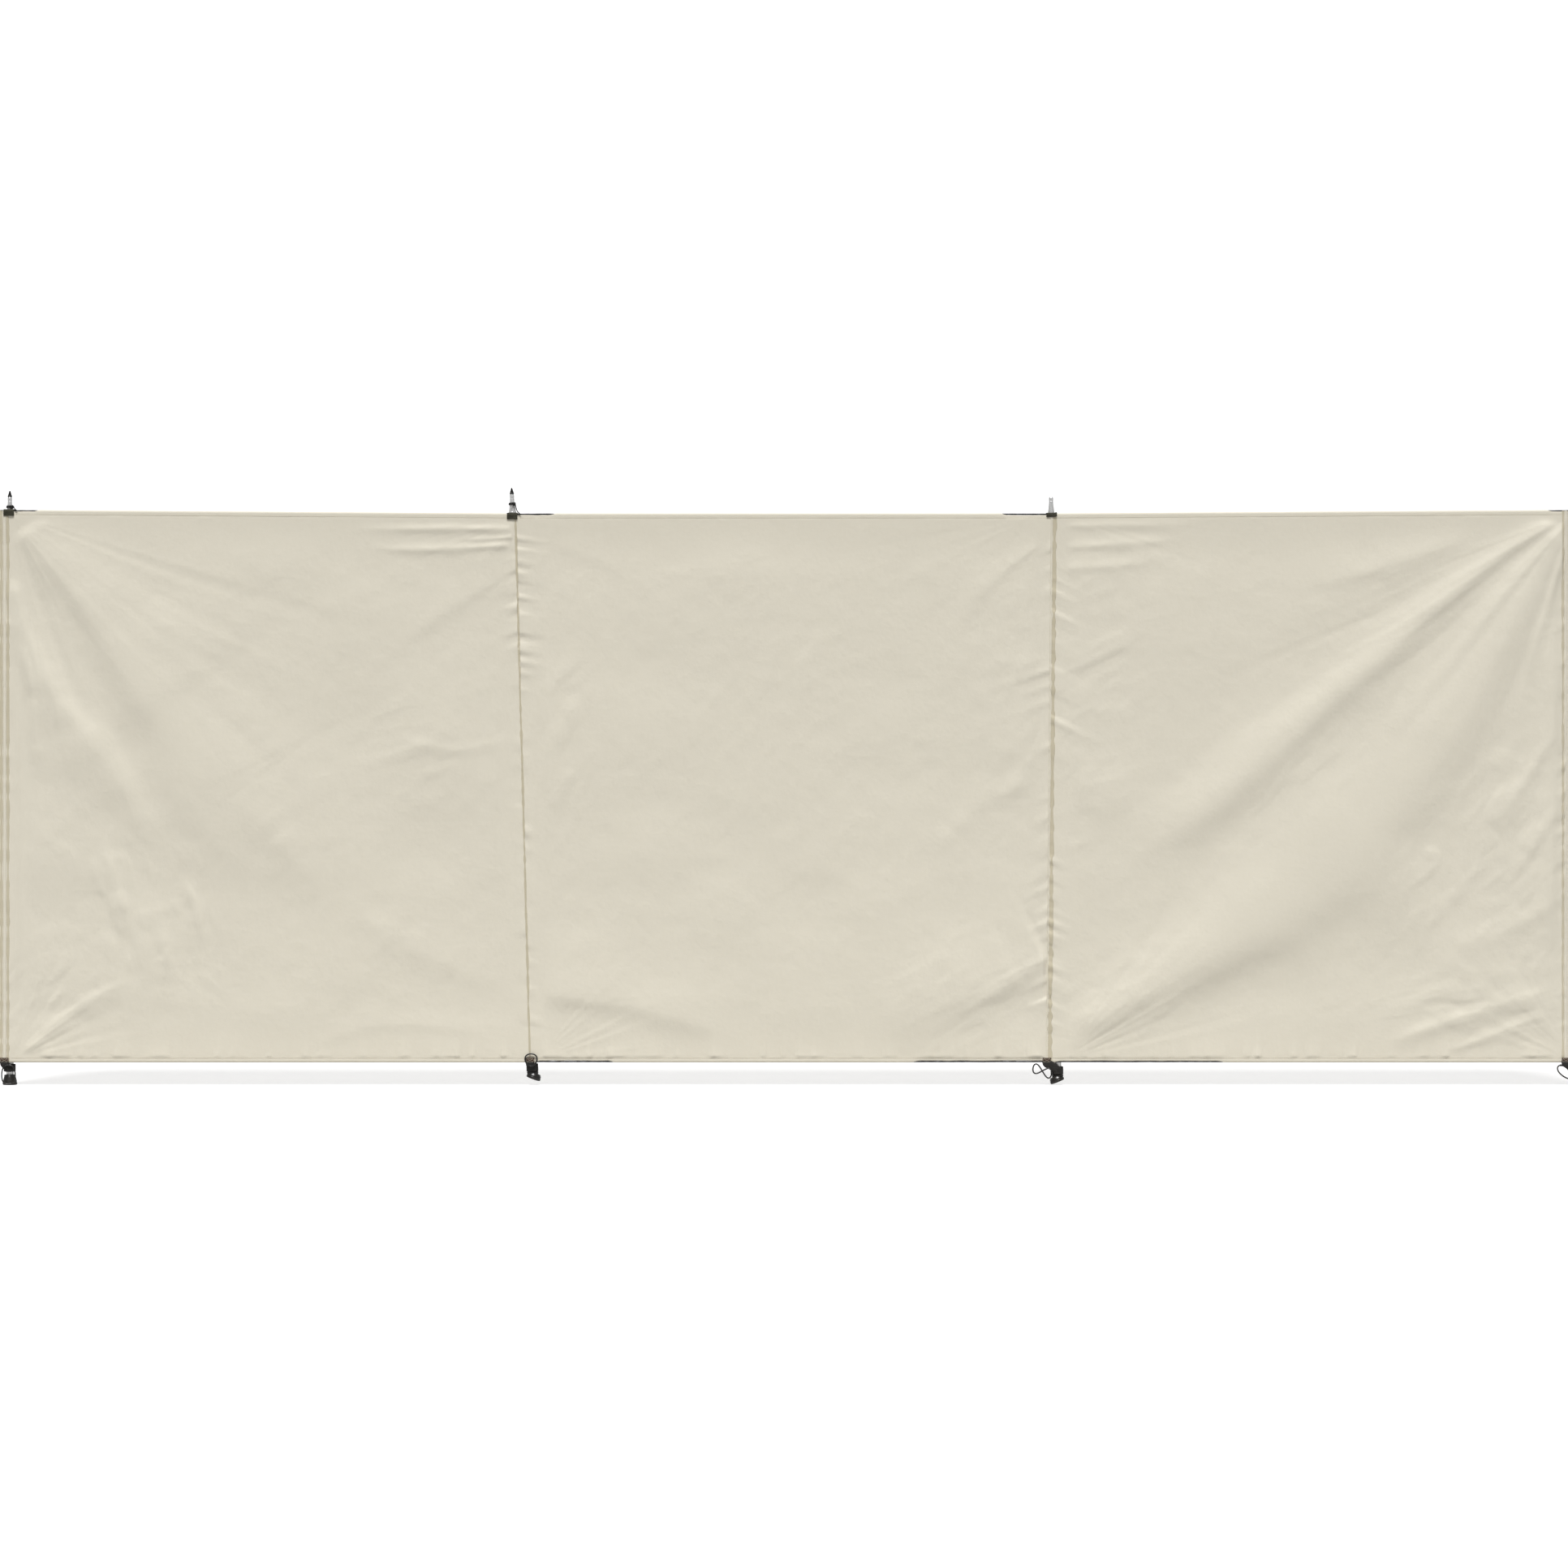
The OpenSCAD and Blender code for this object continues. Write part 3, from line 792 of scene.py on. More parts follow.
def puckerRelief(x, z):
    total = np.zeros(x.shape)
    for number, (post, side, low, high, pitch, reach, tall, lean) in enumerate(puckers):
        away = (x - seamX(post, z)) * side
        height = (z - hemZ) / (topZ[2] - hemZ)
        within = smooth((height - low) / 0.04) * smooth((high - height) / 0.04)
        along = z + away * lean
        wave = np.clip(0.30 + 0.85 * lineNoise(along / pitch, 80 + number), 0, 1)
        sized = 0.65 + 0.50 * lineNoise(z / 0.07, 90 + number)
        length = reach * (0.75 + 0.35 * lineNoise(along / pitch / 2.3, 110 + number))
        total += np.where(away > 0, tall / 1000 * wave * np.clip(sized, 0.1, 1) * within
                          * smooth(away / 0.003) * np.exp(-(np.abs(away) / length) ** 1.5), 0)
    return total


def hemPucker(inward, wave, tall, reach):  # puckers that start at a hem's stitches
    near = smooth((inward - clothLook["flatEdge"]) / 0.008)
    return tall * wave * near * np.exp(-np.maximum(inward - clothLook["hemHeight"], 0) / reach)


def hemPuckers(x, z):
    low = lineNoise(x / 0.013, 101) + 0.6 * lineNoise(x / 0.034, 102)
    high = lineNoise(x / 0.015, 103) + 0.6 * lineNoise(x / 0.041, 104)
    rise = hemPucker(z - hemZ, np.clip(0.15 + low, 0, 1.4), clothLook["bottomPucker"], 0.022)
    return rise + hemPucker(topAt(x) - z, np.clip(high, 0, 1.4), clothLook["topPucker"], 0.014)


def hemRise(x, z):  # the cloth comes forward to a hem's roll over its last few centimetres
    up = np.maximum(z - hemZ - clothLook["hemHeight"], 0)
    down = np.maximum(topAt(x) - z - clothLook["hemHeight"], 0)
    rise = baseY - cordY + clothLook["hemFront"]
    return rise * (np.exp(-(up / 0.07) ** 1.3) + np.exp(-(down / 0.07) ** 1.3))


def relief(bay, x, z):
    x = np.asarray(x, float)
    z = np.asarray(z, float)
    nearPole = np.ones(x.shape)
    nearSeam = np.ones(x.shape)
    clearOfTabs = np.ones(x.shape)
    for post in posts:
        fromPole = np.abs(x - axisX(post, z))
        nearPole = np.minimum(nearPole, smooth((fromPole - 0.024) / 0.05))
        clearOfTabs = np.minimum(clearOfTabs, smooth((fromPole - 0.022) / 0.018))
        nearSeam = np.minimum(nearSeam, smooth(np.abs(x - seamX(post, z)) / 0.014))
    up = z - hemZ - clothLook["flatEdge"]
    down = topAt(x) - z - clothLook["flatEdge"]
    nearHem = smooth(up / 0.035) * smooth(down / 0.03)
    swell = clothLook["billow"] * (0.8 + layered(x / 0.38, z / 0.30, 3, 2))
    swell = swell + clothLook["ripple"] * layered(x / 0.045, z / 0.045, 17, 3)
    total = swell * nearPole * (smooth(up / 0.16) * smooth(down / 0.16))
    total = total + (foldRelief(bay, x, z) + crumpleRelief(bay, x, z)) * nearHem * nearSeam
    total = total + fanRelief(bay, x, z) * nearHem * (0.25 + 0.75 * nearPole) * nearSeam
    total = total + puckerRelief(x, z) * nearHem + hemPuckers(x, z) * clearOfTabs + hemRise(x, z)
    return clothLook["mostRelief"] * np.tanh(np.maximum(total, -0.012) / clothLook["mostRelief"])


def frontY(bay, x, z):
    return baseY - relief(bay, x, z)


# Where the hem has drawn back from its cord: ranges in metres, and how far in mm
bareCord = {
    "top": [(-0.030, 0.070, 3.6), (1.275, 1.385, 4.6), (2.540, 2.655, 5.0), (3.93, 4.029, 3.6)],
    "bottom": [(1.350, 1.535, 5.0), (2.315, 2.640, 4.8), (2.675, 3.090, 4.2)],
}


def drawnBack(edge, x):
    total = np.zeros(np.shape(x))
    for low, high, far in bareCord[edge]:
        ends = smooth((x - low) / 0.02 + 0.5) * smooth((high - x) / 0.02 + 0.5)
        total = np.maximum(total, far / 1000 * ends * (0.82 + 0.22 * lineNoise(x / 0.021, 55)))
    return total


def bayEdges(bay, z):
    left = clothEnds[0] + 0 * z if bay == "left" else seamX(bays.index(bay) + 1, z)
    right = clothEnds[1] + 0 * z if bay == "right" else seamX(bays.index(bay) + 2, z)
    return left, right


# A hem's path round its cord, from the line of stitches behind it to the one in front:
# (distance in from the edge, distance in front of the cord's middle), in mm
hemPath = [(12.0, -2.1), (9.0, -2.3), (6.2, -2.7), (3.6, -2.75), (1.6, -2.5), (0.2, -1.6),
           (-0.5, 0.0), (0.2, 1.6), (1.6, 2.45), (3.6, 2.75), (5.4, 2.75), (7.2, 2.65), (9.2, 2.5)]


def clothPoints(bay):
    spread = np.linspace(0, 1, clothLook["columns"])
    spread = spread - 0.055 * np.sin(4 * math.pi * spread) / 2 - 0.05 * np.sin(2 * math.pi * spread)
    upward = np.linspace(0, 1, clothLook["rows"])
    upward = upward - 0.06 * np.sin(2 * math.pi * upward)
    inner = clothLook["hemHeight"]
    left, right = bayEdges(bay, np.array(hemZ))
    guessX = mix(left, right, spread)
    rows = []
    for edge in ("bottom", "body", "top"):
        if edge == "body":
            share, across = np.meshgrid(upward, spread, indexing="ij")
            z = mix(hemZ + inner, topAt(guessX)[None] - inner, share)
            low, high = bayEdges(bay, z)
            x = mix(low, high, across)
            z = mix(hemZ + inner, topAt(x) - inner, share)
            rows += list(np.stack([x, frontY(bay, x, z), z], -1))
            continue
        path = hemPath if edge == "bottom" else hemPath[::-1]
        for inward, outward in path:
            off = inward / 1000
            z = hemZ + off if edge == "bottom" else topAt(guessX) - off
            low, high = bayEdges(bay, z + 0 * guessX)
            x = mix(low, high, spread)
            z = hemZ + off + 0 * x if edge == "bottom" else topAt(x) - off
            back = drawnBack(edge, x) * np.clip(1 - off / inner, 0, 1.05)
            squeeze = 1 - 0.45 * drawnBack(edge, x) / 0.005
            pinch = 0.00025 * lineNoise(x / 0.0075, 101 if edge == "bottom" else 103)
            y = cordY - outward / 1000 * squeeze - pinch * (outward > 0)
            z = z + back if edge == "bottom" else z - back
            rows.append(np.stack([x, y, z], -1))
    return np.array(rows)


for bay in bays:
    piece = gridPiece(f"cloth_{bay}", clothPoints(bay), canvas)
    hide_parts(f"panel_{bay}")
print("cloth made")


# Seams, hems' stitches and sleeves

seamLook = {
    "width": {1: 0.0095, 2: 0.0030, 3: 0.0055, 4: 0.0085},
    "shade": {1: (-0.0085, 0.0085), 2: (0.0,), 3: (0.0072,), 4: (-0.0075,)},   # painted shade as a darker tape beside the seam
    "shadeWidth": {1: 0.0060, 2: 0.0050, 3: 0.0095, 4: 0.0048},
    "uneven": 0.60,            # how much the showing width of the darker tape with its painted shade varies
    "thick": 0.0009,
    "shadeTapeThick": 0.0005,
    "bareThick": 0.0006,       # under the stitches where a seam has no band
    "stitch": 0.0031,
    "pitch": 0.0046,
    "threadRadius": 0.00042,
}


def bayAt(post, side):
    return bays[min(max(post - 1 if side >= 0 else post - 2, 0), 2)]


def seamHold(post, z, offset):  # y of the cloth that a seam lies on
    hold = frontY(bayAt(post, offset), seamX(post, z) + offset, z)
    nearEdge = np.minimum(z - hemZ, topZ[post] - z)
    return np.minimum(hold, mix(cordY - 0.0030, hold, smooth((nearEdge - 0.003) / 0.008)))


def seamStray(post, z):  # how far a seam strays sideways and swells
    return 0.0006 * lineNoise(z / 0.05, 130 + post), 0.0004 * lineNoise(z / 0.011, 140 + post)


def makeSeam(post, name, offset, width, thick, look):
    z = np.linspace(hemZ + 0.002, topZ[post] - 0.002, 420)
    wander, swell = seamStray(post, z)
    # only the darker tape with its painted shade varies in width
    wide = 1 + seamLook["uneven"] * lineNoise(z / 0.016, 150 + post) * (look is seamShadeCanvas)
    rows = []
    for share, lift in ((-0.5, -0.3), (-0.5, 0.7), (-0.38, 1.0), (-0.15, 0.9), (0.15, 0.9),
                        (0.38, 1.0), (0.5, 0.7), (0.5, -0.3)):
        across = offset + share * width * wide
        hold = seamHold(post, z, offset + share * width)
        y = hold - thick * lift - swell * (lift > 0) * thick / seamLook["thick"]
        rows.append(np.stack([seamX(post, z) + wander + across, y, z], -1))
    return gridPiece(name, np.array(rows), look)


def addStitches(shape, path, lift, radius=None, pitch=None, long=None):  # short threads along a path
    radius = radius or seamLook["threadRadius"]
    pitch = pitch or seamLook["pitch"]
    long = long or seamLook["stitch"]
    path = np.asarray(path, float)
    far = np.concatenate([[0], np.cumsum(np.linalg.norm(np.diff(path, axis=0), axis=1))])
    starts = np.arange(pitch / 2, far[-1] - long, pitch)
    ring = np.array([(0.0, -0.6), (1.0, 0.0), (0.0, 1.0), (-1.0, 0.0)])
    steps = ((0.0, -0.7, 0.5), (0.5, 0.6, 1.1), (1.0, -0.7, 0.5))
    lift = np.asarray(lift, float)
    blocks = []
    ahead = unit(np.stack([np.interp(starts + long, far, path[:, k]) - np.interp(starts, far, path[:, k])
                           for k in range(3)], -1))
    side = unit(np.cross(ahead, lift))
    for share, rise, size in steps:
        at = starts + share * long
        place = np.stack([np.interp(at, far, path[:, k]) for k in range(3)], -1)
        for across, up in ring:
            blocks.append(place + side * across * radius * size + lift * (up * size + rise) * radius)
    points = np.stack(blocks, 1)
    count = len(starts)
    base = np.arange(count)[:, None] * len(steps) * 4
    quads = []
    for step in range(len(steps) - 1):
        for corner in range(4):
            after = (corner + 1) % 4
            quads.append([step * 4 + corner, step * 4 + after, step * 4 + 4 + after, step * 4 + 4 + corner])
    quads.append([3, 2, 1, 0])
    last = len(steps) * 4 - 4
    quads.append([last, last + 1, last + 2, last + 3])
    faces = (base[:, :, None] + np.array(quads)[None]).reshape(-1, 4).tolist()
    shape.add(points.reshape(-1, 3), faces)


forward = (0.0, -1.0, 0.0)
seams = {}
for post in posts:
    width = seamLook["width"][post]
    shadeTapeWidth = seamLook["shadeWidth"][post]
    seams[post] = [makeSeam(post, f"seam_{post}", 0.0, width, seamLook["thick"], canvas)] if post != 2 else []
    # strips of the darker canvas beside each seam: painted shade over a slightly darker seam tone
    for count, offset in enumerate(seamLook["shade"][post]):
        name = f"seam_shade_tape_{post}_{count + 1}"
        seams[post].append(makeSeam(post, name, offset, shadeTapeWidth, seamLook["shadeTapeThick"], seamShadeCanvas))
seamStitches = {}
for post in posts:
    shape = Shape()
    z = np.linspace(hemZ + 0.004, topZ[post] - 0.004, 500)
    wander, swell = seamStray(post, z)
    width = seamLook["width"][post]
    thick = seamLook["bareThick"] if post == 2 else seamLook["thick"]
    for offset in (0.0,) if post == 2 else (-0.34 * width, 0.34 * width):
        y = seamHold(post, z, offset) - thick * 1.05 - swell
        addStitches(shape, np.stack([seamX(post, z) + wander + offset, y, z], -1), forward)
    seamStitches[post] = shape.make(f"seam_stitches_{post}", thread)

hemStitches = {}
for bay in bays:
    shape = Shape()
    for edge in ("bottom", "top"):
        start, end = bayEdges(bay, np.array(hemZ if edge == "bottom" else topZ[2]))
        x = np.linspace(start + 0.004, end - 0.004, 700)
        inward = clothLook["stitchLine"]
        z = hemZ + inward + 0 * x if edge == "bottom" else topAt(x) - inward
        path = np.stack([x, frontY(bay, x, z) - 0.0003, z], -1)
        addStitches(shape, path, forward)
    hemStitches[bay] = shape.make(f"hem_stitches_{bay}", thread)
print("seams and stitches made")

sleeveLook = {
    "halfWidth": 0.030,
    "radius": 0.0114,
    "slack": 0.0016,
    "rows": 170,
}


def makeSleeve(post):
    half = sleeveLook["halfWidth"]
    front = baseY + 0.0003
    radius = sleeveLook["radius"]
    reach = math.hypot(half, front)
    turn = math.atan2(front, half) + math.acos(radius / reach)
    touch = np.array([math.cos(turn), math.sin(turn)]) * radius
    right = [mix(np.array([half, front]), touch, share) for share in np.linspace(0, 1, 12)]
    angles = np.linspace(turn, math.pi - turn, 18)[1:-1]
    back = [(radius * math.cos(angle), radius * math.sin(angle)) for angle in angles]
    left = [(-x, y) for x, y in right[::-1]]
    outline = np.array(right + back + left)
    across = np.linspace(0, 1, len(outline))
    low = hemZ + 0.0045
    high = topZ[post] - 0.0065
    z = np.linspace(low, high, sleeveLook["rows"])
    outward = unit(outline)
    rows = []
    for height in z:
        edge = np.minimum(across, 1 - across)
        loose = smooth(edge / 0.12) * sleeveLook["slack"]
        wrinkle = 0.5 + 0.5 * valueNoise(across * 5 + 11, 0 * across + height / 0.028, 200 + post)
        long = 0.5 + 0.5 * valueNoise(across * 9, 0 * across + height / 0.30, 220 + post)
        push = loose * (0.75 * wrinkle ** 1.5 + 0.9 * long)
        offset = outline + outward * push[:, None]
        x = axisX(post, height) + offset[:, 0]
        rows.append(np.stack([x, offset[:, 1], 0 * x + height], -1))
    piece = gridPiece(f"sleeve_cloth_{post}", np.array(rows), canvas)
    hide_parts(f"sleeve_{post}")
    return piece


sleeves = {post: makeSleeve(post) for post in posts}
print("sleeves made")


# Poles, spikes and their caps

poleLook = {
    "wall": 0.001,
    "spikeBase": 0.004,
    "coneHeight": 0.028,
    "pinRadius": 0.0055,
    "sides": 64,
}


def localTop(post):  # a pole's end as a distance along its post
    (lowX, lowZ), (highX, highZ) = poleEnds[post]
    foot = nodeBox(f"foot_{post}")[0][2]
    return (highZ - foot) * math.hypot(highX - lowX, highZ - lowZ) / (highZ - lowZ)


poleTop = {post: localTop(post) for post in posts}
coneWide = poleRadius - 0.0005
poleLow = nodeBox("pole_1")[0][2]
tipTop = poleTop[1] + nodeBox("spike_1")[1][2] - nodeBox("pole_1")[1][2]
tipReach = tipTop - poleTop[1]
capLength = nodeBox("spike_cap_1")[1][2] - nodeBox("spike_cap_1")[0][2]


def makePole(post):
    shape = Shape()
    radius = poleRadius
    inner = radius - poleLook["wall"]
    steps = np.linspace(poleLow + 0.0006, poleTop[post] - 0.0006, 30)
    profile = [(inner, poleLow), (radius - 0.0004, poleLow)]
    profile += [(radius, height) for height in steps]
    profile += [(radius - 0.0004, poleTop[post]), (inner, poleTop[post])]
    lathe(shape, profile, placeOn[post], poleLook["sides"])
    piece = shape.make(f"pole_tube_{post}", steel)
    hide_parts(f"pole_{post}")


def makeSpike(post):
    shape = Shape()
    low = poleTop[post]
    pin = poleLook["pinRadius"]
    base = low + poleLook["spikeBase"]
    pinLow = base + poleLook["coneHeight"]
    top = low + tipReach
    corners = [(0.0008, low - 0.010), (poleRadius - 0.0014, low - 0.010), (poleRadius - 0.0014, low + 0.0002),
               (poleRadius + 0.0002, low + 0.0002), (poleRadius + 0.0002, base - 0.0004), (coneWide, base),
               (coneWide - 0.0004, base + 0.003), (pin + 0.0004, pinLow - 0.002), (pin, pinLow + 0.001),
               (pin, pinLow + 0.005), (pin - 0.0005, pinLow + 0.0056), (pin - 0.0005, pinLow + 0.0066),
               (pin, pinLow + 0.0072), (pin, top - 0.0025), (pin - 0.0014, top - 0.0003), (0.0008, top)]
    lathe(shape, roundedProfile(corners, 0.0006), placeOn[post], poleLook["sides"])
    piece = shape.make(f"spike_turned_{post}", steel)
    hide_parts(f"spike_{post}")


def makeCap(post):
    shape = Shape()
    low = poleTop[post] + tipReach
    pin = poleLook["pinRadius"]
    corners = [(0.0008, low - 0.0001), (pin, low - 0.0001), (pin + 0.0002, low + 0.0006),
               (pin + 0.0002, low + 0.0022), (pin - 0.0003, low + 0.0028), (0.0030, low + capLength * 0.62),
               (0.0017, low + capLength * 0.92), (0.0008, low + capLength)]
    lathe(shape, roundedProfile(corners, 0.0015, 5), placeOn[post], 48)
    piece = shape.make(f"cap_{post}", plastic)
    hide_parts(f"spike_cap_{post}")


for post in posts:
    makePole(post)
    makeSpike(post)
cappedPosts = [post for post in posts if f"spike_cap_{post}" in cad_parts]
for post in cappedPosts:
    makeCap(post)
print("poles and spikes made")


# Ties on the spikes: a wound cord, its knot and a loose end that goes down to the hem

tieLook = {
    "radius": 0.00145,
    "turns": 2.35,
    "low": 0.0165,             # above the spike's base ring
    "knotSize": 0.0026,
}


def coneRadius(post, height):
    share = (height - poleTop[post] - poleLook["spikeBase"]) / poleLook["coneHeight"]
    return mix(coneWide, poleLook["pinRadius"], np.clip(share, 0, 1))


def makeTie(post):
    shape = Shape()
    radius = tieLook["radius"]
    low = poleTop[post] + poleLook["spikeBase"] + tieLook["low"]
    angles = np.linspace(-0.9, -0.9 + tieLook["turns"] * 2 * math.pi, 90)
    heights = low + (angles - angles[0]) / (2 * math.pi) * radius * 1.95
    out = coneRadius(post, heights) + radius * 1.02
    wound = np.stack([out * np.cos(angles), out * np.sin(angles), heights], -1)
    tube(shape, placeOn[post](wound), radius, 10)
    at = math.radians(-62)
    far = coneRadius(post, low + 0.002) + radius * 2.3
    knotMiddle = np.array([far * math.cos(at), far * math.sin(at), low + 0.0015])
    size = tieLook["knotSize"]
    t = np.linspace(0, 2 * math.pi, 64, endpoint=False)
    trefoil = np.stack([(np.sin(t) + 1.7 * np.sin(2 * t)) * 0.42, np.sin(3 * t) * 0.42,
                        (np.cos(t) - 1.7 * np.cos(2 * t)) * 0.42], -1) * size
    tube(shape, placeOn[post](knotMiddle + trefoil), radius * 0.92, 10, True)
    tabHalf = (nodeBox(f"top_tab_{post}")[1][0] - nodeBox(f"top_tab_{post}")[0][0]) / 2
    drop = topZ[post] - nodeBox(f"foot_{post}")[0][2]
    tail = [knotMiddle + (0.001, 0, -0.001), knotMiddle + (0.004, -0.0015, -0.003),
            (tabHalf * 0.86, -0.0165, drop + 0.010), (tabHalf + 0.001, -0.0190, drop + 0.0045),
            (tabHalf + 0.0045, -0.0192, drop + 0.0005), (tabHalf + 0.0085, -0.0188, drop - 0.0030)]
    tube(shape, smoothPath(placeOn[post](np.array(tail)), 40), radius * 0.85, 10)
    short = [knotMiddle + (-0.001, 0, 0.001), knotMiddle + (-0.003, -0.003, 0.003),
             knotMiddle + (-0.005, -0.0045, 0.002), knotMiddle + (-0.0065, -0.005, -0.001)]
    tube(shape, smoothPath(placeOn[post](np.array(short)), 20), radius * 0.85, 10)
    piece = shape.make(f"tie_{post}", cord)
    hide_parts(f"spike_tie_{post}")


for post in cappedPosts:
    makeTie(post)


# Webbing tabs over the top hem, with a hole for the spike

topTabLook = {
    "thick": 0.0017,
    "frontDrop": {1: 0.0165, 2: 0.0165, 3: 0.0105, 4: 0.0165},
    "backDrop": 0.0165,
    "holeClearance": 0.0006,
    "curl": {1: 0.0004, 2: 0.0005, 3: 0.0035, 4: 0.0004},
}


def cutHole(piece, centre, along, radius):
    bpy.ops.mesh.primitive_cylinder_add(vertices=64, radius=radius, depth=0.03, location=centre)
    cutter = bpy.context.object
    cutter.rotation_mode = "QUATERNION"
    cutter.rotation_quaternion = Vector(along).to_track_quat("Z", "Y")
    bpy.context.view_layer.update()
    cut = piece.modifiers.new("hole", "BOOLEAN")
    cut.operation = "DIFFERENCE"
    cut.solver = "EXACT"
    cut.object = cutter
    graph = bpy.context.evaluated_depsgraph_get()
    mesh = bpy.data.meshes.new_from_object(piece.evaluated_get(graph))
    piece.modifiers.clear()
    piece.data = mesh
    bpy.data.objects.remove(cutter, do_unlink=True)


def makeTopTab(post):
    low, high = nodeBox(f"top_tab_{post}")
    thick = topTabLook["thick"]
    front = -(cordRadius + 0.0008) + cordY - thick / 2 - 0.0003
    back = high[1] - thick / 2
    top = topZ[post] + 0.0004 + thick / 2
    frontDrop = topTabLook["frontDrop"][post]
    corners = [(front - 0.0002, top - frontDrop), (front, top - frontDrop * 0.5), (front, top - 0.0045),
               (front + 0.0012, top - 0.0012), (front + 0.0045, top), (0.0, top + 0.0002),
               (back - 0.0045, top), (back - 0.0012, top - 0.0012), (back, top - 0.0045),
               (back + 0.0003, top - topTabLook["backDrop"])]
    line = smoothPath([(0.0, y, z) for y, z in corners], 72)
    ahead = unit(np.gradient(line, axis=0))
    sides = everywhere([1.0, 0.0, 0.0], line)
    ups = np.cross(sides, ahead)
    width = high[0] - low[0]
    section = bandSection(width, thick)
    middle = (low[0] + high[0]) / 2
    curl = topTabLook["curl"][post]
    shape = Shape()
    sweep(shape, line, sides, ups, section)
    points = shape.points[0]
    share = points[:, 0] / (width / 2)
    onFront = smooth((-points[:, 1] - 0.012) / 0.004)
    points[:, 2] += curl * onFront * np.clip(share - 0.25, 0, 1) ** 2 * (1 if post == 3 else 0.4)
    points[:, 1] -= curl * 0.9 * onFront * np.clip(share - 0.35, 0, 1) ** 2
    points[:, 1] -= 0.0003 * onFront * np.sin(share * 3.1)
    points[:, 0] += middle
    piece = shape.make(f"tab_top_{post}", oliveWebbing)
    hole = placeOn[post](np.array([0.0, 0.0, poleTop[post] + 0.007]))
    cutHole(piece, hole, alongPole(post), poleRadius + topTabLook["holeClearance"])
    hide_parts(f"top_tab_{post}")


boxThread = {                                  # thread radius, pitch and stitch length
    "webbing": (0.00036, 0.0021, 0.0015),
    "hemTab": (0.00042, 0.0023, 0.0017),
}


def boxOfStitches(shape, low, high, kind):  # an outline and its diagonals between two corners
    corners = [low, (high[0], low[1], low[2]), high, (low[0], high[1], high[2])]
    lines = list(zip(corners, corners[1:] + corners[:1]))
    for start, end in lines + [(corners[0], corners[2]), (corners[3], corners[1])]:
        addStitches(shape, np.linspace(start, end, 20), forward, *boxThread[kind])


def webbingBox(shape, x, z, width, height, y):
    boxOfStitches(shape, (x - width / 2, y, z - height / 2), (x + width / 2, y, z + height / 2), "webbing")


for post in posts:
    makeTopTab(post)
for post in posts:
    shape = Shape()
    low, high = nodeBox(f"top_tab_{post}")
    drop = topTabLook["frontDrop"][post]
    y = cordY - cordRadius - 0.0011 - topTabLook["thick"] - 0.0002
    webbingBox(shape, (low[0] + high[0]) / 2 - 0.001, topZ[post] - drop * 0.48,
               (high[0] - low[0]) * 0.74, drop * 0.42, y)
    shape.make(f"tab_top_stitches_{post}", oliveWebbing)
print("ties and top tabs made")


# Webbing tabs on the bottom hem, and the straps that hold the poles

hemTabLook = {
    "thick": 0.0018,
    "inset": 0.0016,           # its stitches, in from its sides
}
hemFace = cordY - cordRadius - 0.0010


def makeHemTab(post):
    low, high = nodeBox(f"hem_tab_{post}")
    width = high[0] - low[0]
    middle = (low[0] + high[0]) / 2
    thick = hemTabLook["thick"]
    face = hemFace - thick / 2
    shape = Shape()
    heights = np.linspace(low[2] - 0.0012, high[2] + 0.0008, 16)
    share = (heights - heights[0]) / (heights[-1] - heights[0])
    bow = face + 0.0004 * smooth((share - 0.55) / 0.45)
    line = np.stack([middle + 0.0004 * np.sin(share * 4 + post), bow, heights], -1)
    sides = everywhere([1.0, 0.0, 0.0], line)
    ups = unit(np.cross(unit(np.gradient(line, axis=0)), sides))
    sweep(shape, line, sides, ups, bandSection(width, thick, 0.0002))
    piece = shape.make(f"tab_hem_{post}", brownWebbing)
    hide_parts(f"hem_tab_{post}")
    shape = Shape()
    across = width / 2 - hemTabLook["inset"]
    boxOfStitches(shape, (middle - across, face - thick / 2 - 0.0002, low[2] + 0.0010),
                  (middle + across, face - thick / 2 + 0.0001, high[2] - 0.0012), "hemTab")
    shape.make(f"tab_hem_stitches_{post}", thread)


strapLook = {
    "thick": 0.0019,
    "turns": 2.15,
    "collarHeight": 0.0195,
    "leadWidth": 0.0215,
    "stitchesAt": 34,          # of the lead's 44 steps
}


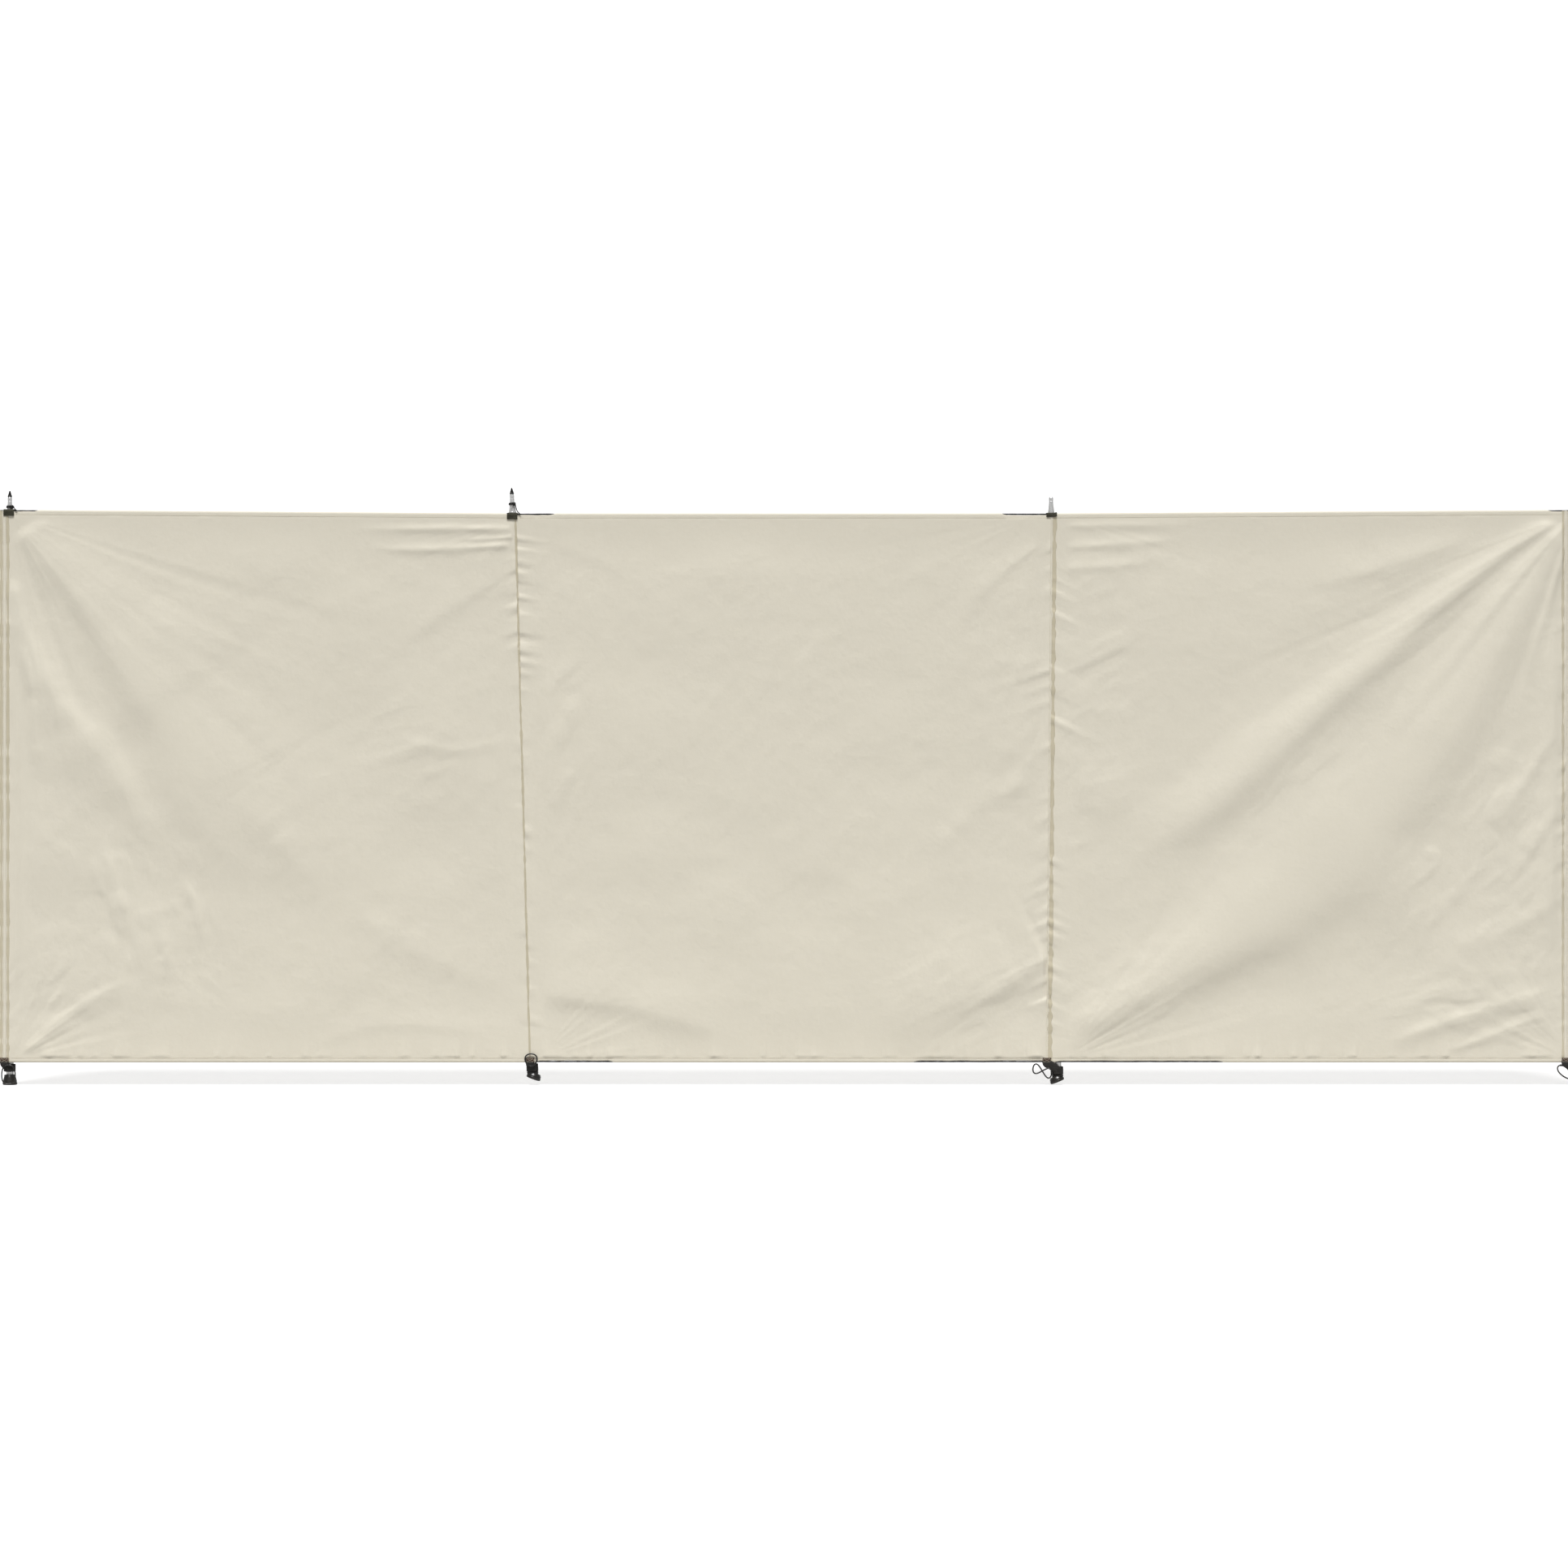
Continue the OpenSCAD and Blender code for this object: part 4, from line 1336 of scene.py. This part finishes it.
def makeStrap(post):
    low, high = nodeBox(f"pole_strap_{post}")
    foot = nodeBox(f"foot_{post}")[0][2]
    thick = strapLook["thick"]
    shape = Shape()
    start = low[2] - foot + 0.0012
    height = strapLook["collarHeight"]
    turns = strapLook["turns"]
    angles = np.linspace(-math.pi / 2 - turns * 2 * math.pi, -math.pi / 2 + 0.35, 150)
    share = (angles - angles[0]) / (angles[-1] - angles[0])
    out = mix(poleRadius + 0.0006 + thick / 2, poleRadius + 0.0009 + thick * (turns + 0.4), share)
    wobble = 0.0004 * np.sin(angles * 1.7 + post)
    local = np.stack([out * np.cos(angles), out * np.sin(angles), start + height / 2 + wobble], -1)
    line = placeOn[post](local)
    sides = everywhere(alongPole(post), line)
    ups = unit(np.cross(unit(np.gradient(line, axis=0)), sides))
    sweep(shape, line, sides, ups, bandSection(height, thick))
    tab = nodeBox(f"hem_tab_{post}")
    tabX = (tab[0][0] + tab[1][0]) / 2
    collarTop = placeOn[post](np.array([0.0, 0.0, start + height]))
    front = -(poleRadius + 0.0009 + thick * (turns + 1.0))
    face = hemFace - thick / 2
    lead = [(tabX, face + 0.0003, tab[0][2] + 0.0030), (tabX, face - 0.0001, tab[0][2] - 0.0020),
            (mix(tabX, collarTop[0], 0.35), face + 0.0002, tab[0][2] - 0.0075),
            (mix(tabX, collarTop[0], 0.86), mix(face, front, 0.75),
             mix(tab[0][2], collarTop[2] - height, 0.55)),
            (collarTop[0], front - 0.0001, collarTop[2] - height * 0.62),
            (collarTop[0], front - 0.0001, collarTop[2] - height * 0.93)]
    line = smoothPath(lead, 44)
    ahead = unit(np.gradient(line, axis=0))
    sides = unit(np.cross(everywhere([0.0, -1.0, 0.0], line), ahead))
    ups = np.cross(ahead, sides)
    width = np.linspace(strapLook["leadWidth"] * 1.05, strapLook["leadWidth"] * 0.92, len(line))
    sections = np.stack([bandSection(size, thick, 0.0003) for size in width])
    sweep(shape, line, sides, ups, sections)
    piece = shape.make(f"strap_{post}", blackWebbing)
    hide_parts(f"pole_strap_{post}")
    shape = Shape()
    middle = line[strapLook["stitchesAt"]]
    webbingBox(shape, middle[0], middle[2], 0.0150, 0.0070, middle[1] - thick / 2 - 0.0005)
    shape.make(f"strap_stitches_{post}", blackWebbing)


for post in posts:
    makeHemTab(post)
    makeStrap(post)
print("hem tabs and straps made")


# Peg loops: rubber cord rings, one of them flipped up and one twisted

loopLook = {
    "radius": 0.0018,
    "sleeveRadius": 0.0026,
    "sleeveLength": 0.009,
    "sleeveStart": {1: 0, 2: 66, 3: 20, 4: 4},     # a step along the ring
}


def loopLine(post):
    low, high = nodeBox(f"peg_loop_{post}")
    middle = (low + high) / 2
    half = (high - low) / 2 - loopLook["radius"]
    t = np.linspace(0, 2 * math.pi, 96, endpoint=False)
    lean = 0.0004 * np.sin(3 * t + post)
    if post == 3:
        x = half[0] * 0.95 * np.sin(t) + 0.0022 * np.sin(2 * t)
        z = -half[2] * 0.50 * np.sin(t) + half[2] * 0.72 * np.sin(2 * t)
        y = 0.0019 * np.cos(t)
    elif post == 4:
        turn = math.radians(-48)
        long = 0.0232 * np.cos(t)
        wide = 0.0108 * np.sin(t) * (1 + 0.18 * np.cos(t))
        x = long * math.sin(turn) + wide * math.cos(turn)
        z = long * math.cos(turn) - wide * math.sin(turn)
        y = lean
    elif post == 2:
        x = half[0] * (np.cos(t) + 0.06 * np.sin(2 * t))
        z = half[2] * (np.sin(t) + 0.04 * np.cos(2 * t))
        y = lean
    else:
        power = 0.82
        x = half[0] * np.sign(np.sin(t)) * np.abs(np.sin(t)) ** power * (1 - 0.05 * np.cos(t))
        z = half[2] * np.sign(np.cos(t)) * np.abs(np.cos(t)) ** power
        y = lean
    return middle + np.stack([x, y, z], -1)


def makeLoop(post):
    shape = Shape()
    line = smoothPath(loopLine(post), 110, True)
    tube(shape, line, loopLook["radius"], 12, True)
    far = np.linalg.norm(np.diff(line, axis=0), axis=1).mean()
    start = loopLook["sleeveStart"][post]
    count = int(loopLook["sleeveLength"] / far) + 2
    part = np.array([line[(start + index) % len(line)] for index in range(count)])
    size = np.full(count, loopLook["sleeveRadius"])
    size[0] = size[-1] = loopLook["radius"] * 1.06
    tube(shape, part, size, 14)
    piece = shape.make(f"loop_{post}", rubber)
    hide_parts(f"peg_loop_{post}")


for post in posts:
    makeLoop(post)


# Rubber feet: a socket on the pole and a flared cup, which two posts have turned

footLook = {
    "turn": {1: 0.0, 2: 20.0, 3: -22.0, 4: 0.0},
    "widest": 0.0185,
    "socket": 0.0140,
    "height": 0.026,
}


def makeFoot(post):
    low = nodeBox(f"foot_{post}")[0]
    shape = Shape()
    widest = footLook["widest"]
    socket = footLook["socket"]
    height = footLook["height"]
    turn = math.radians(footLook["turn"][post])
    lift = widest * abs(math.sin(turn))
    corners = [(0.0006, 0.012), (socket - 0.0012, 0.012), (socket, 0.0135), (socket, height - 0.0045),
               (socket + 0.0006, height - 0.0040), (socket + 0.0006, height - 0.0016),
               (socket - 0.0004, height), (poleRadius + 0.0016, height),
               (poleRadius + 0.0003, height - 0.0012), (poleRadius + 0.0003, 0.0125)]
    lathe(shape, roundedProfile(corners, 0.0008), placeOn[post], 64)
    cupTop = height - lift - 0.004
    cup = [(0.0006, 0.0016), (widest - 0.0062, 0.0016), (widest - 0.0048, 0.0001), (widest - 0.0015, 0.0001),
           (widest, 0.0016), (widest, 0.0058), (widest - 0.0006, 0.0064), (widest - 0.0014, 0.0068),
           (widest - 0.0014, 0.0078), (widest - 0.0005, 0.0084), (widest - 0.0006, 0.0092),
           (mix(widest, socket, 0.55), 0.0092 + (cupTop - 0.0092) * 0.55), (socket + 0.0006, cupTop - 0.0006),
           (socket - 0.0006, cupTop), (0.0006, cupTop)]
    footX = axisX(post, low[2])
    turned = np.array([[math.cos(turn), 0, math.sin(turn)], [0, 1, 0], [-math.sin(turn), 0, math.cos(turn)]])

    def place(points):
        return points @ turned.T + np.array([footX, 0.0, low[2] + lift])

    lathe(shape, roundedProfile(cup, 0.0009), place, 72)
    piece = shape.make(f"foot_cup_{post}", rubber)
    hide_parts(f"foot_{post}")


for post in posts:
    makeFoot(post)
print("loops and feet made")


# The cords in the hems

def makeHemCord(name, heightAt):
    low, high = nodeBox(name)
    shape = Shape()
    x = np.linspace(low[0], high[0], 520)
    z = heightAt(x) + 0.00022 * lineNoise(x / 0.035, 301)
    y = cordY + 0.00022 * lineNoise(x / 0.031, 302)
    line = np.stack([x, y, z], -1)
    sides = everywhere([0.0, 1.0, 0.0], line)
    ups = np.cross(unit(np.gradient(line, axis=0)), sides)
    strands = 1 + 0.05 * np.sin(np.arange(len(x)) * 1.9)
    sections = circleSection(1.0, 10)[None] * (cordRadius * strands)[:, None, None]
    sweep(shape, line, sides, ups, sections)
    piece = shape.make(f"{name}_braid", cord)
    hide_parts(name)


makeHemCord("top_cord", lambda x: topAt(x) - cordRadius)
makeHemCord("bottom_cord", lambda x: hemZ + cordRadius + 0 * x)
print("cords made")


# What is sewn to each cloth, gathered into a list that nothing uses further

for bay in bays:
    number = bays.index(bay) + 1
    sewn = [hemStitches[bay], *seams[number], seamStitches[number]]
    if bay == "right":
        sewn += [*seams[4], seamStitches[4]]


# Floor, light and camera

stageLook = {
    "floor": (0.50, 0.50, 0.50, 1.0),
    "glow": 0.70,              # how far the backdrop lights itself, to stay pale
    "worldColour": (1.0, 0.975, 0.92, 1.0),
    "world": 0.205,
    "key": 3.62,
    "keyAngle": 0.30,
    "keyPlace": (1.7, -3.6, 8.0),
    "fill": 10.0,
    "fillPlace": (2.0, -9.0, 1.2),
    "fillColour": (1.0, 0.97, 0.92),
    "fillSize": (8.0, 3.0),
    "lampTarget": (2.0, 0.0, 0.8),
    "floorFront": -14.0,
    "wallFoot": 2.6,           # where the floor starts to bend up into the backdrop
    "wallBend": 2.0,
    "wallTop": 9.0,
}


def makeStage():
    material, tree, surface = newMaterial("pale_floor")
    surface.inputs["Base Color"].default_value = stageLook["floor"]
    surface.inputs["Roughness"].default_value = 0.9
    surface.inputs["Specular IOR Level"].default_value = 0.1
    surface.inputs["Emission Color"].default_value = (1.0, 1.0, 1.0, 1.0)
    path = tree.nodes.new("ShaderNodeLightPath")  # the floor looks paler than the light it gives back
    glow = mathNode(tree, "MULTIPLY", path.outputs["Is Camera Ray"], stageLook["glow"])
    tree.links.new(glow, surface.inputs["Emission Strength"])
    foot = stageLook["wallFoot"]
    bend = stageLook["wallBend"]
    angles = np.linspace(0, math.pi / 2, 16)
    profile = [(stageLook["floorFront"], 0.0), (foot, 0.0)]
    profile += [(foot + bend * math.sin(angle), bend - bend * math.cos(angle)) for angle in angles]
    profile += [(foot + bend, stageLook["wallTop"])]
    points = [(x, y, z - 0.0003) for y, z in profile for x in (-16.0, 20.0)]
    mesh = bpy.data.meshes.new("floor")
    mesh.from_pydata(points, [], gridFaces(len(profile), 2))
    mesh.materials.append(material)
    mesh.polygons.foreach_set("use_smooth", [True] * len(mesh.polygons))
    floor = newObject("floor", mesh)


def addLamp(name, kind, place, power, colour, **sizes):
    light = bpy.data.lights.new(name, kind)
    light.energy = power
    light.color = colour
    for key, value in sizes.items():
        setattr(light, key, value)
    lamp = newObject(name, light)
    lamp.location = place
    aim = Vector(stageLook["lampTarget"]) - Vector(place)
    lamp.rotation_euler = aim.to_track_quat("-Z", "Y").to_euler()


makeStage()
world = bpy.data.worlds.new("studio")
bpy.context.scene.world = world
world.use_nodes = True
world.node_tree.nodes["Background"].inputs[0].default_value = stageLook["worldColour"]
world.node_tree.nodes["Background"].inputs[1].default_value = stageLook["world"]
addLamp("key", "SUN", stageLook["keyPlace"], stageLook["key"], (1.0, 1.0, 1.0), angle=stageLook["keyAngle"])
addLamp("fill", "AREA", stageLook["fillPlace"], stageLook["fill"], stageLook["fillColour"],
        shape="RECTANGLE", size=stageLook["fillSize"][0], size_y=stageLook["fillSize"][1])

cameraLook = {
    "lens": 100.0,
    "place": (1.977, -11.124, 0.768),
}
eye = bpy.data.cameras.new("camera")
eye.lens = cameraLook["lens"]
eye.sensor_width = 36.0
eye.clip_end = 60.0
camera = newObject("camera", eye)
camera.location = cameraLook["place"]
camera.rotation_euler = (math.pi / 2, 0.0, 0.0)
bpy.context.scene.camera = camera
bpy.context.scene.view_settings.view_transform = "Standard"

bpy.context.view_layer.update()


print("stage, light and camera made")
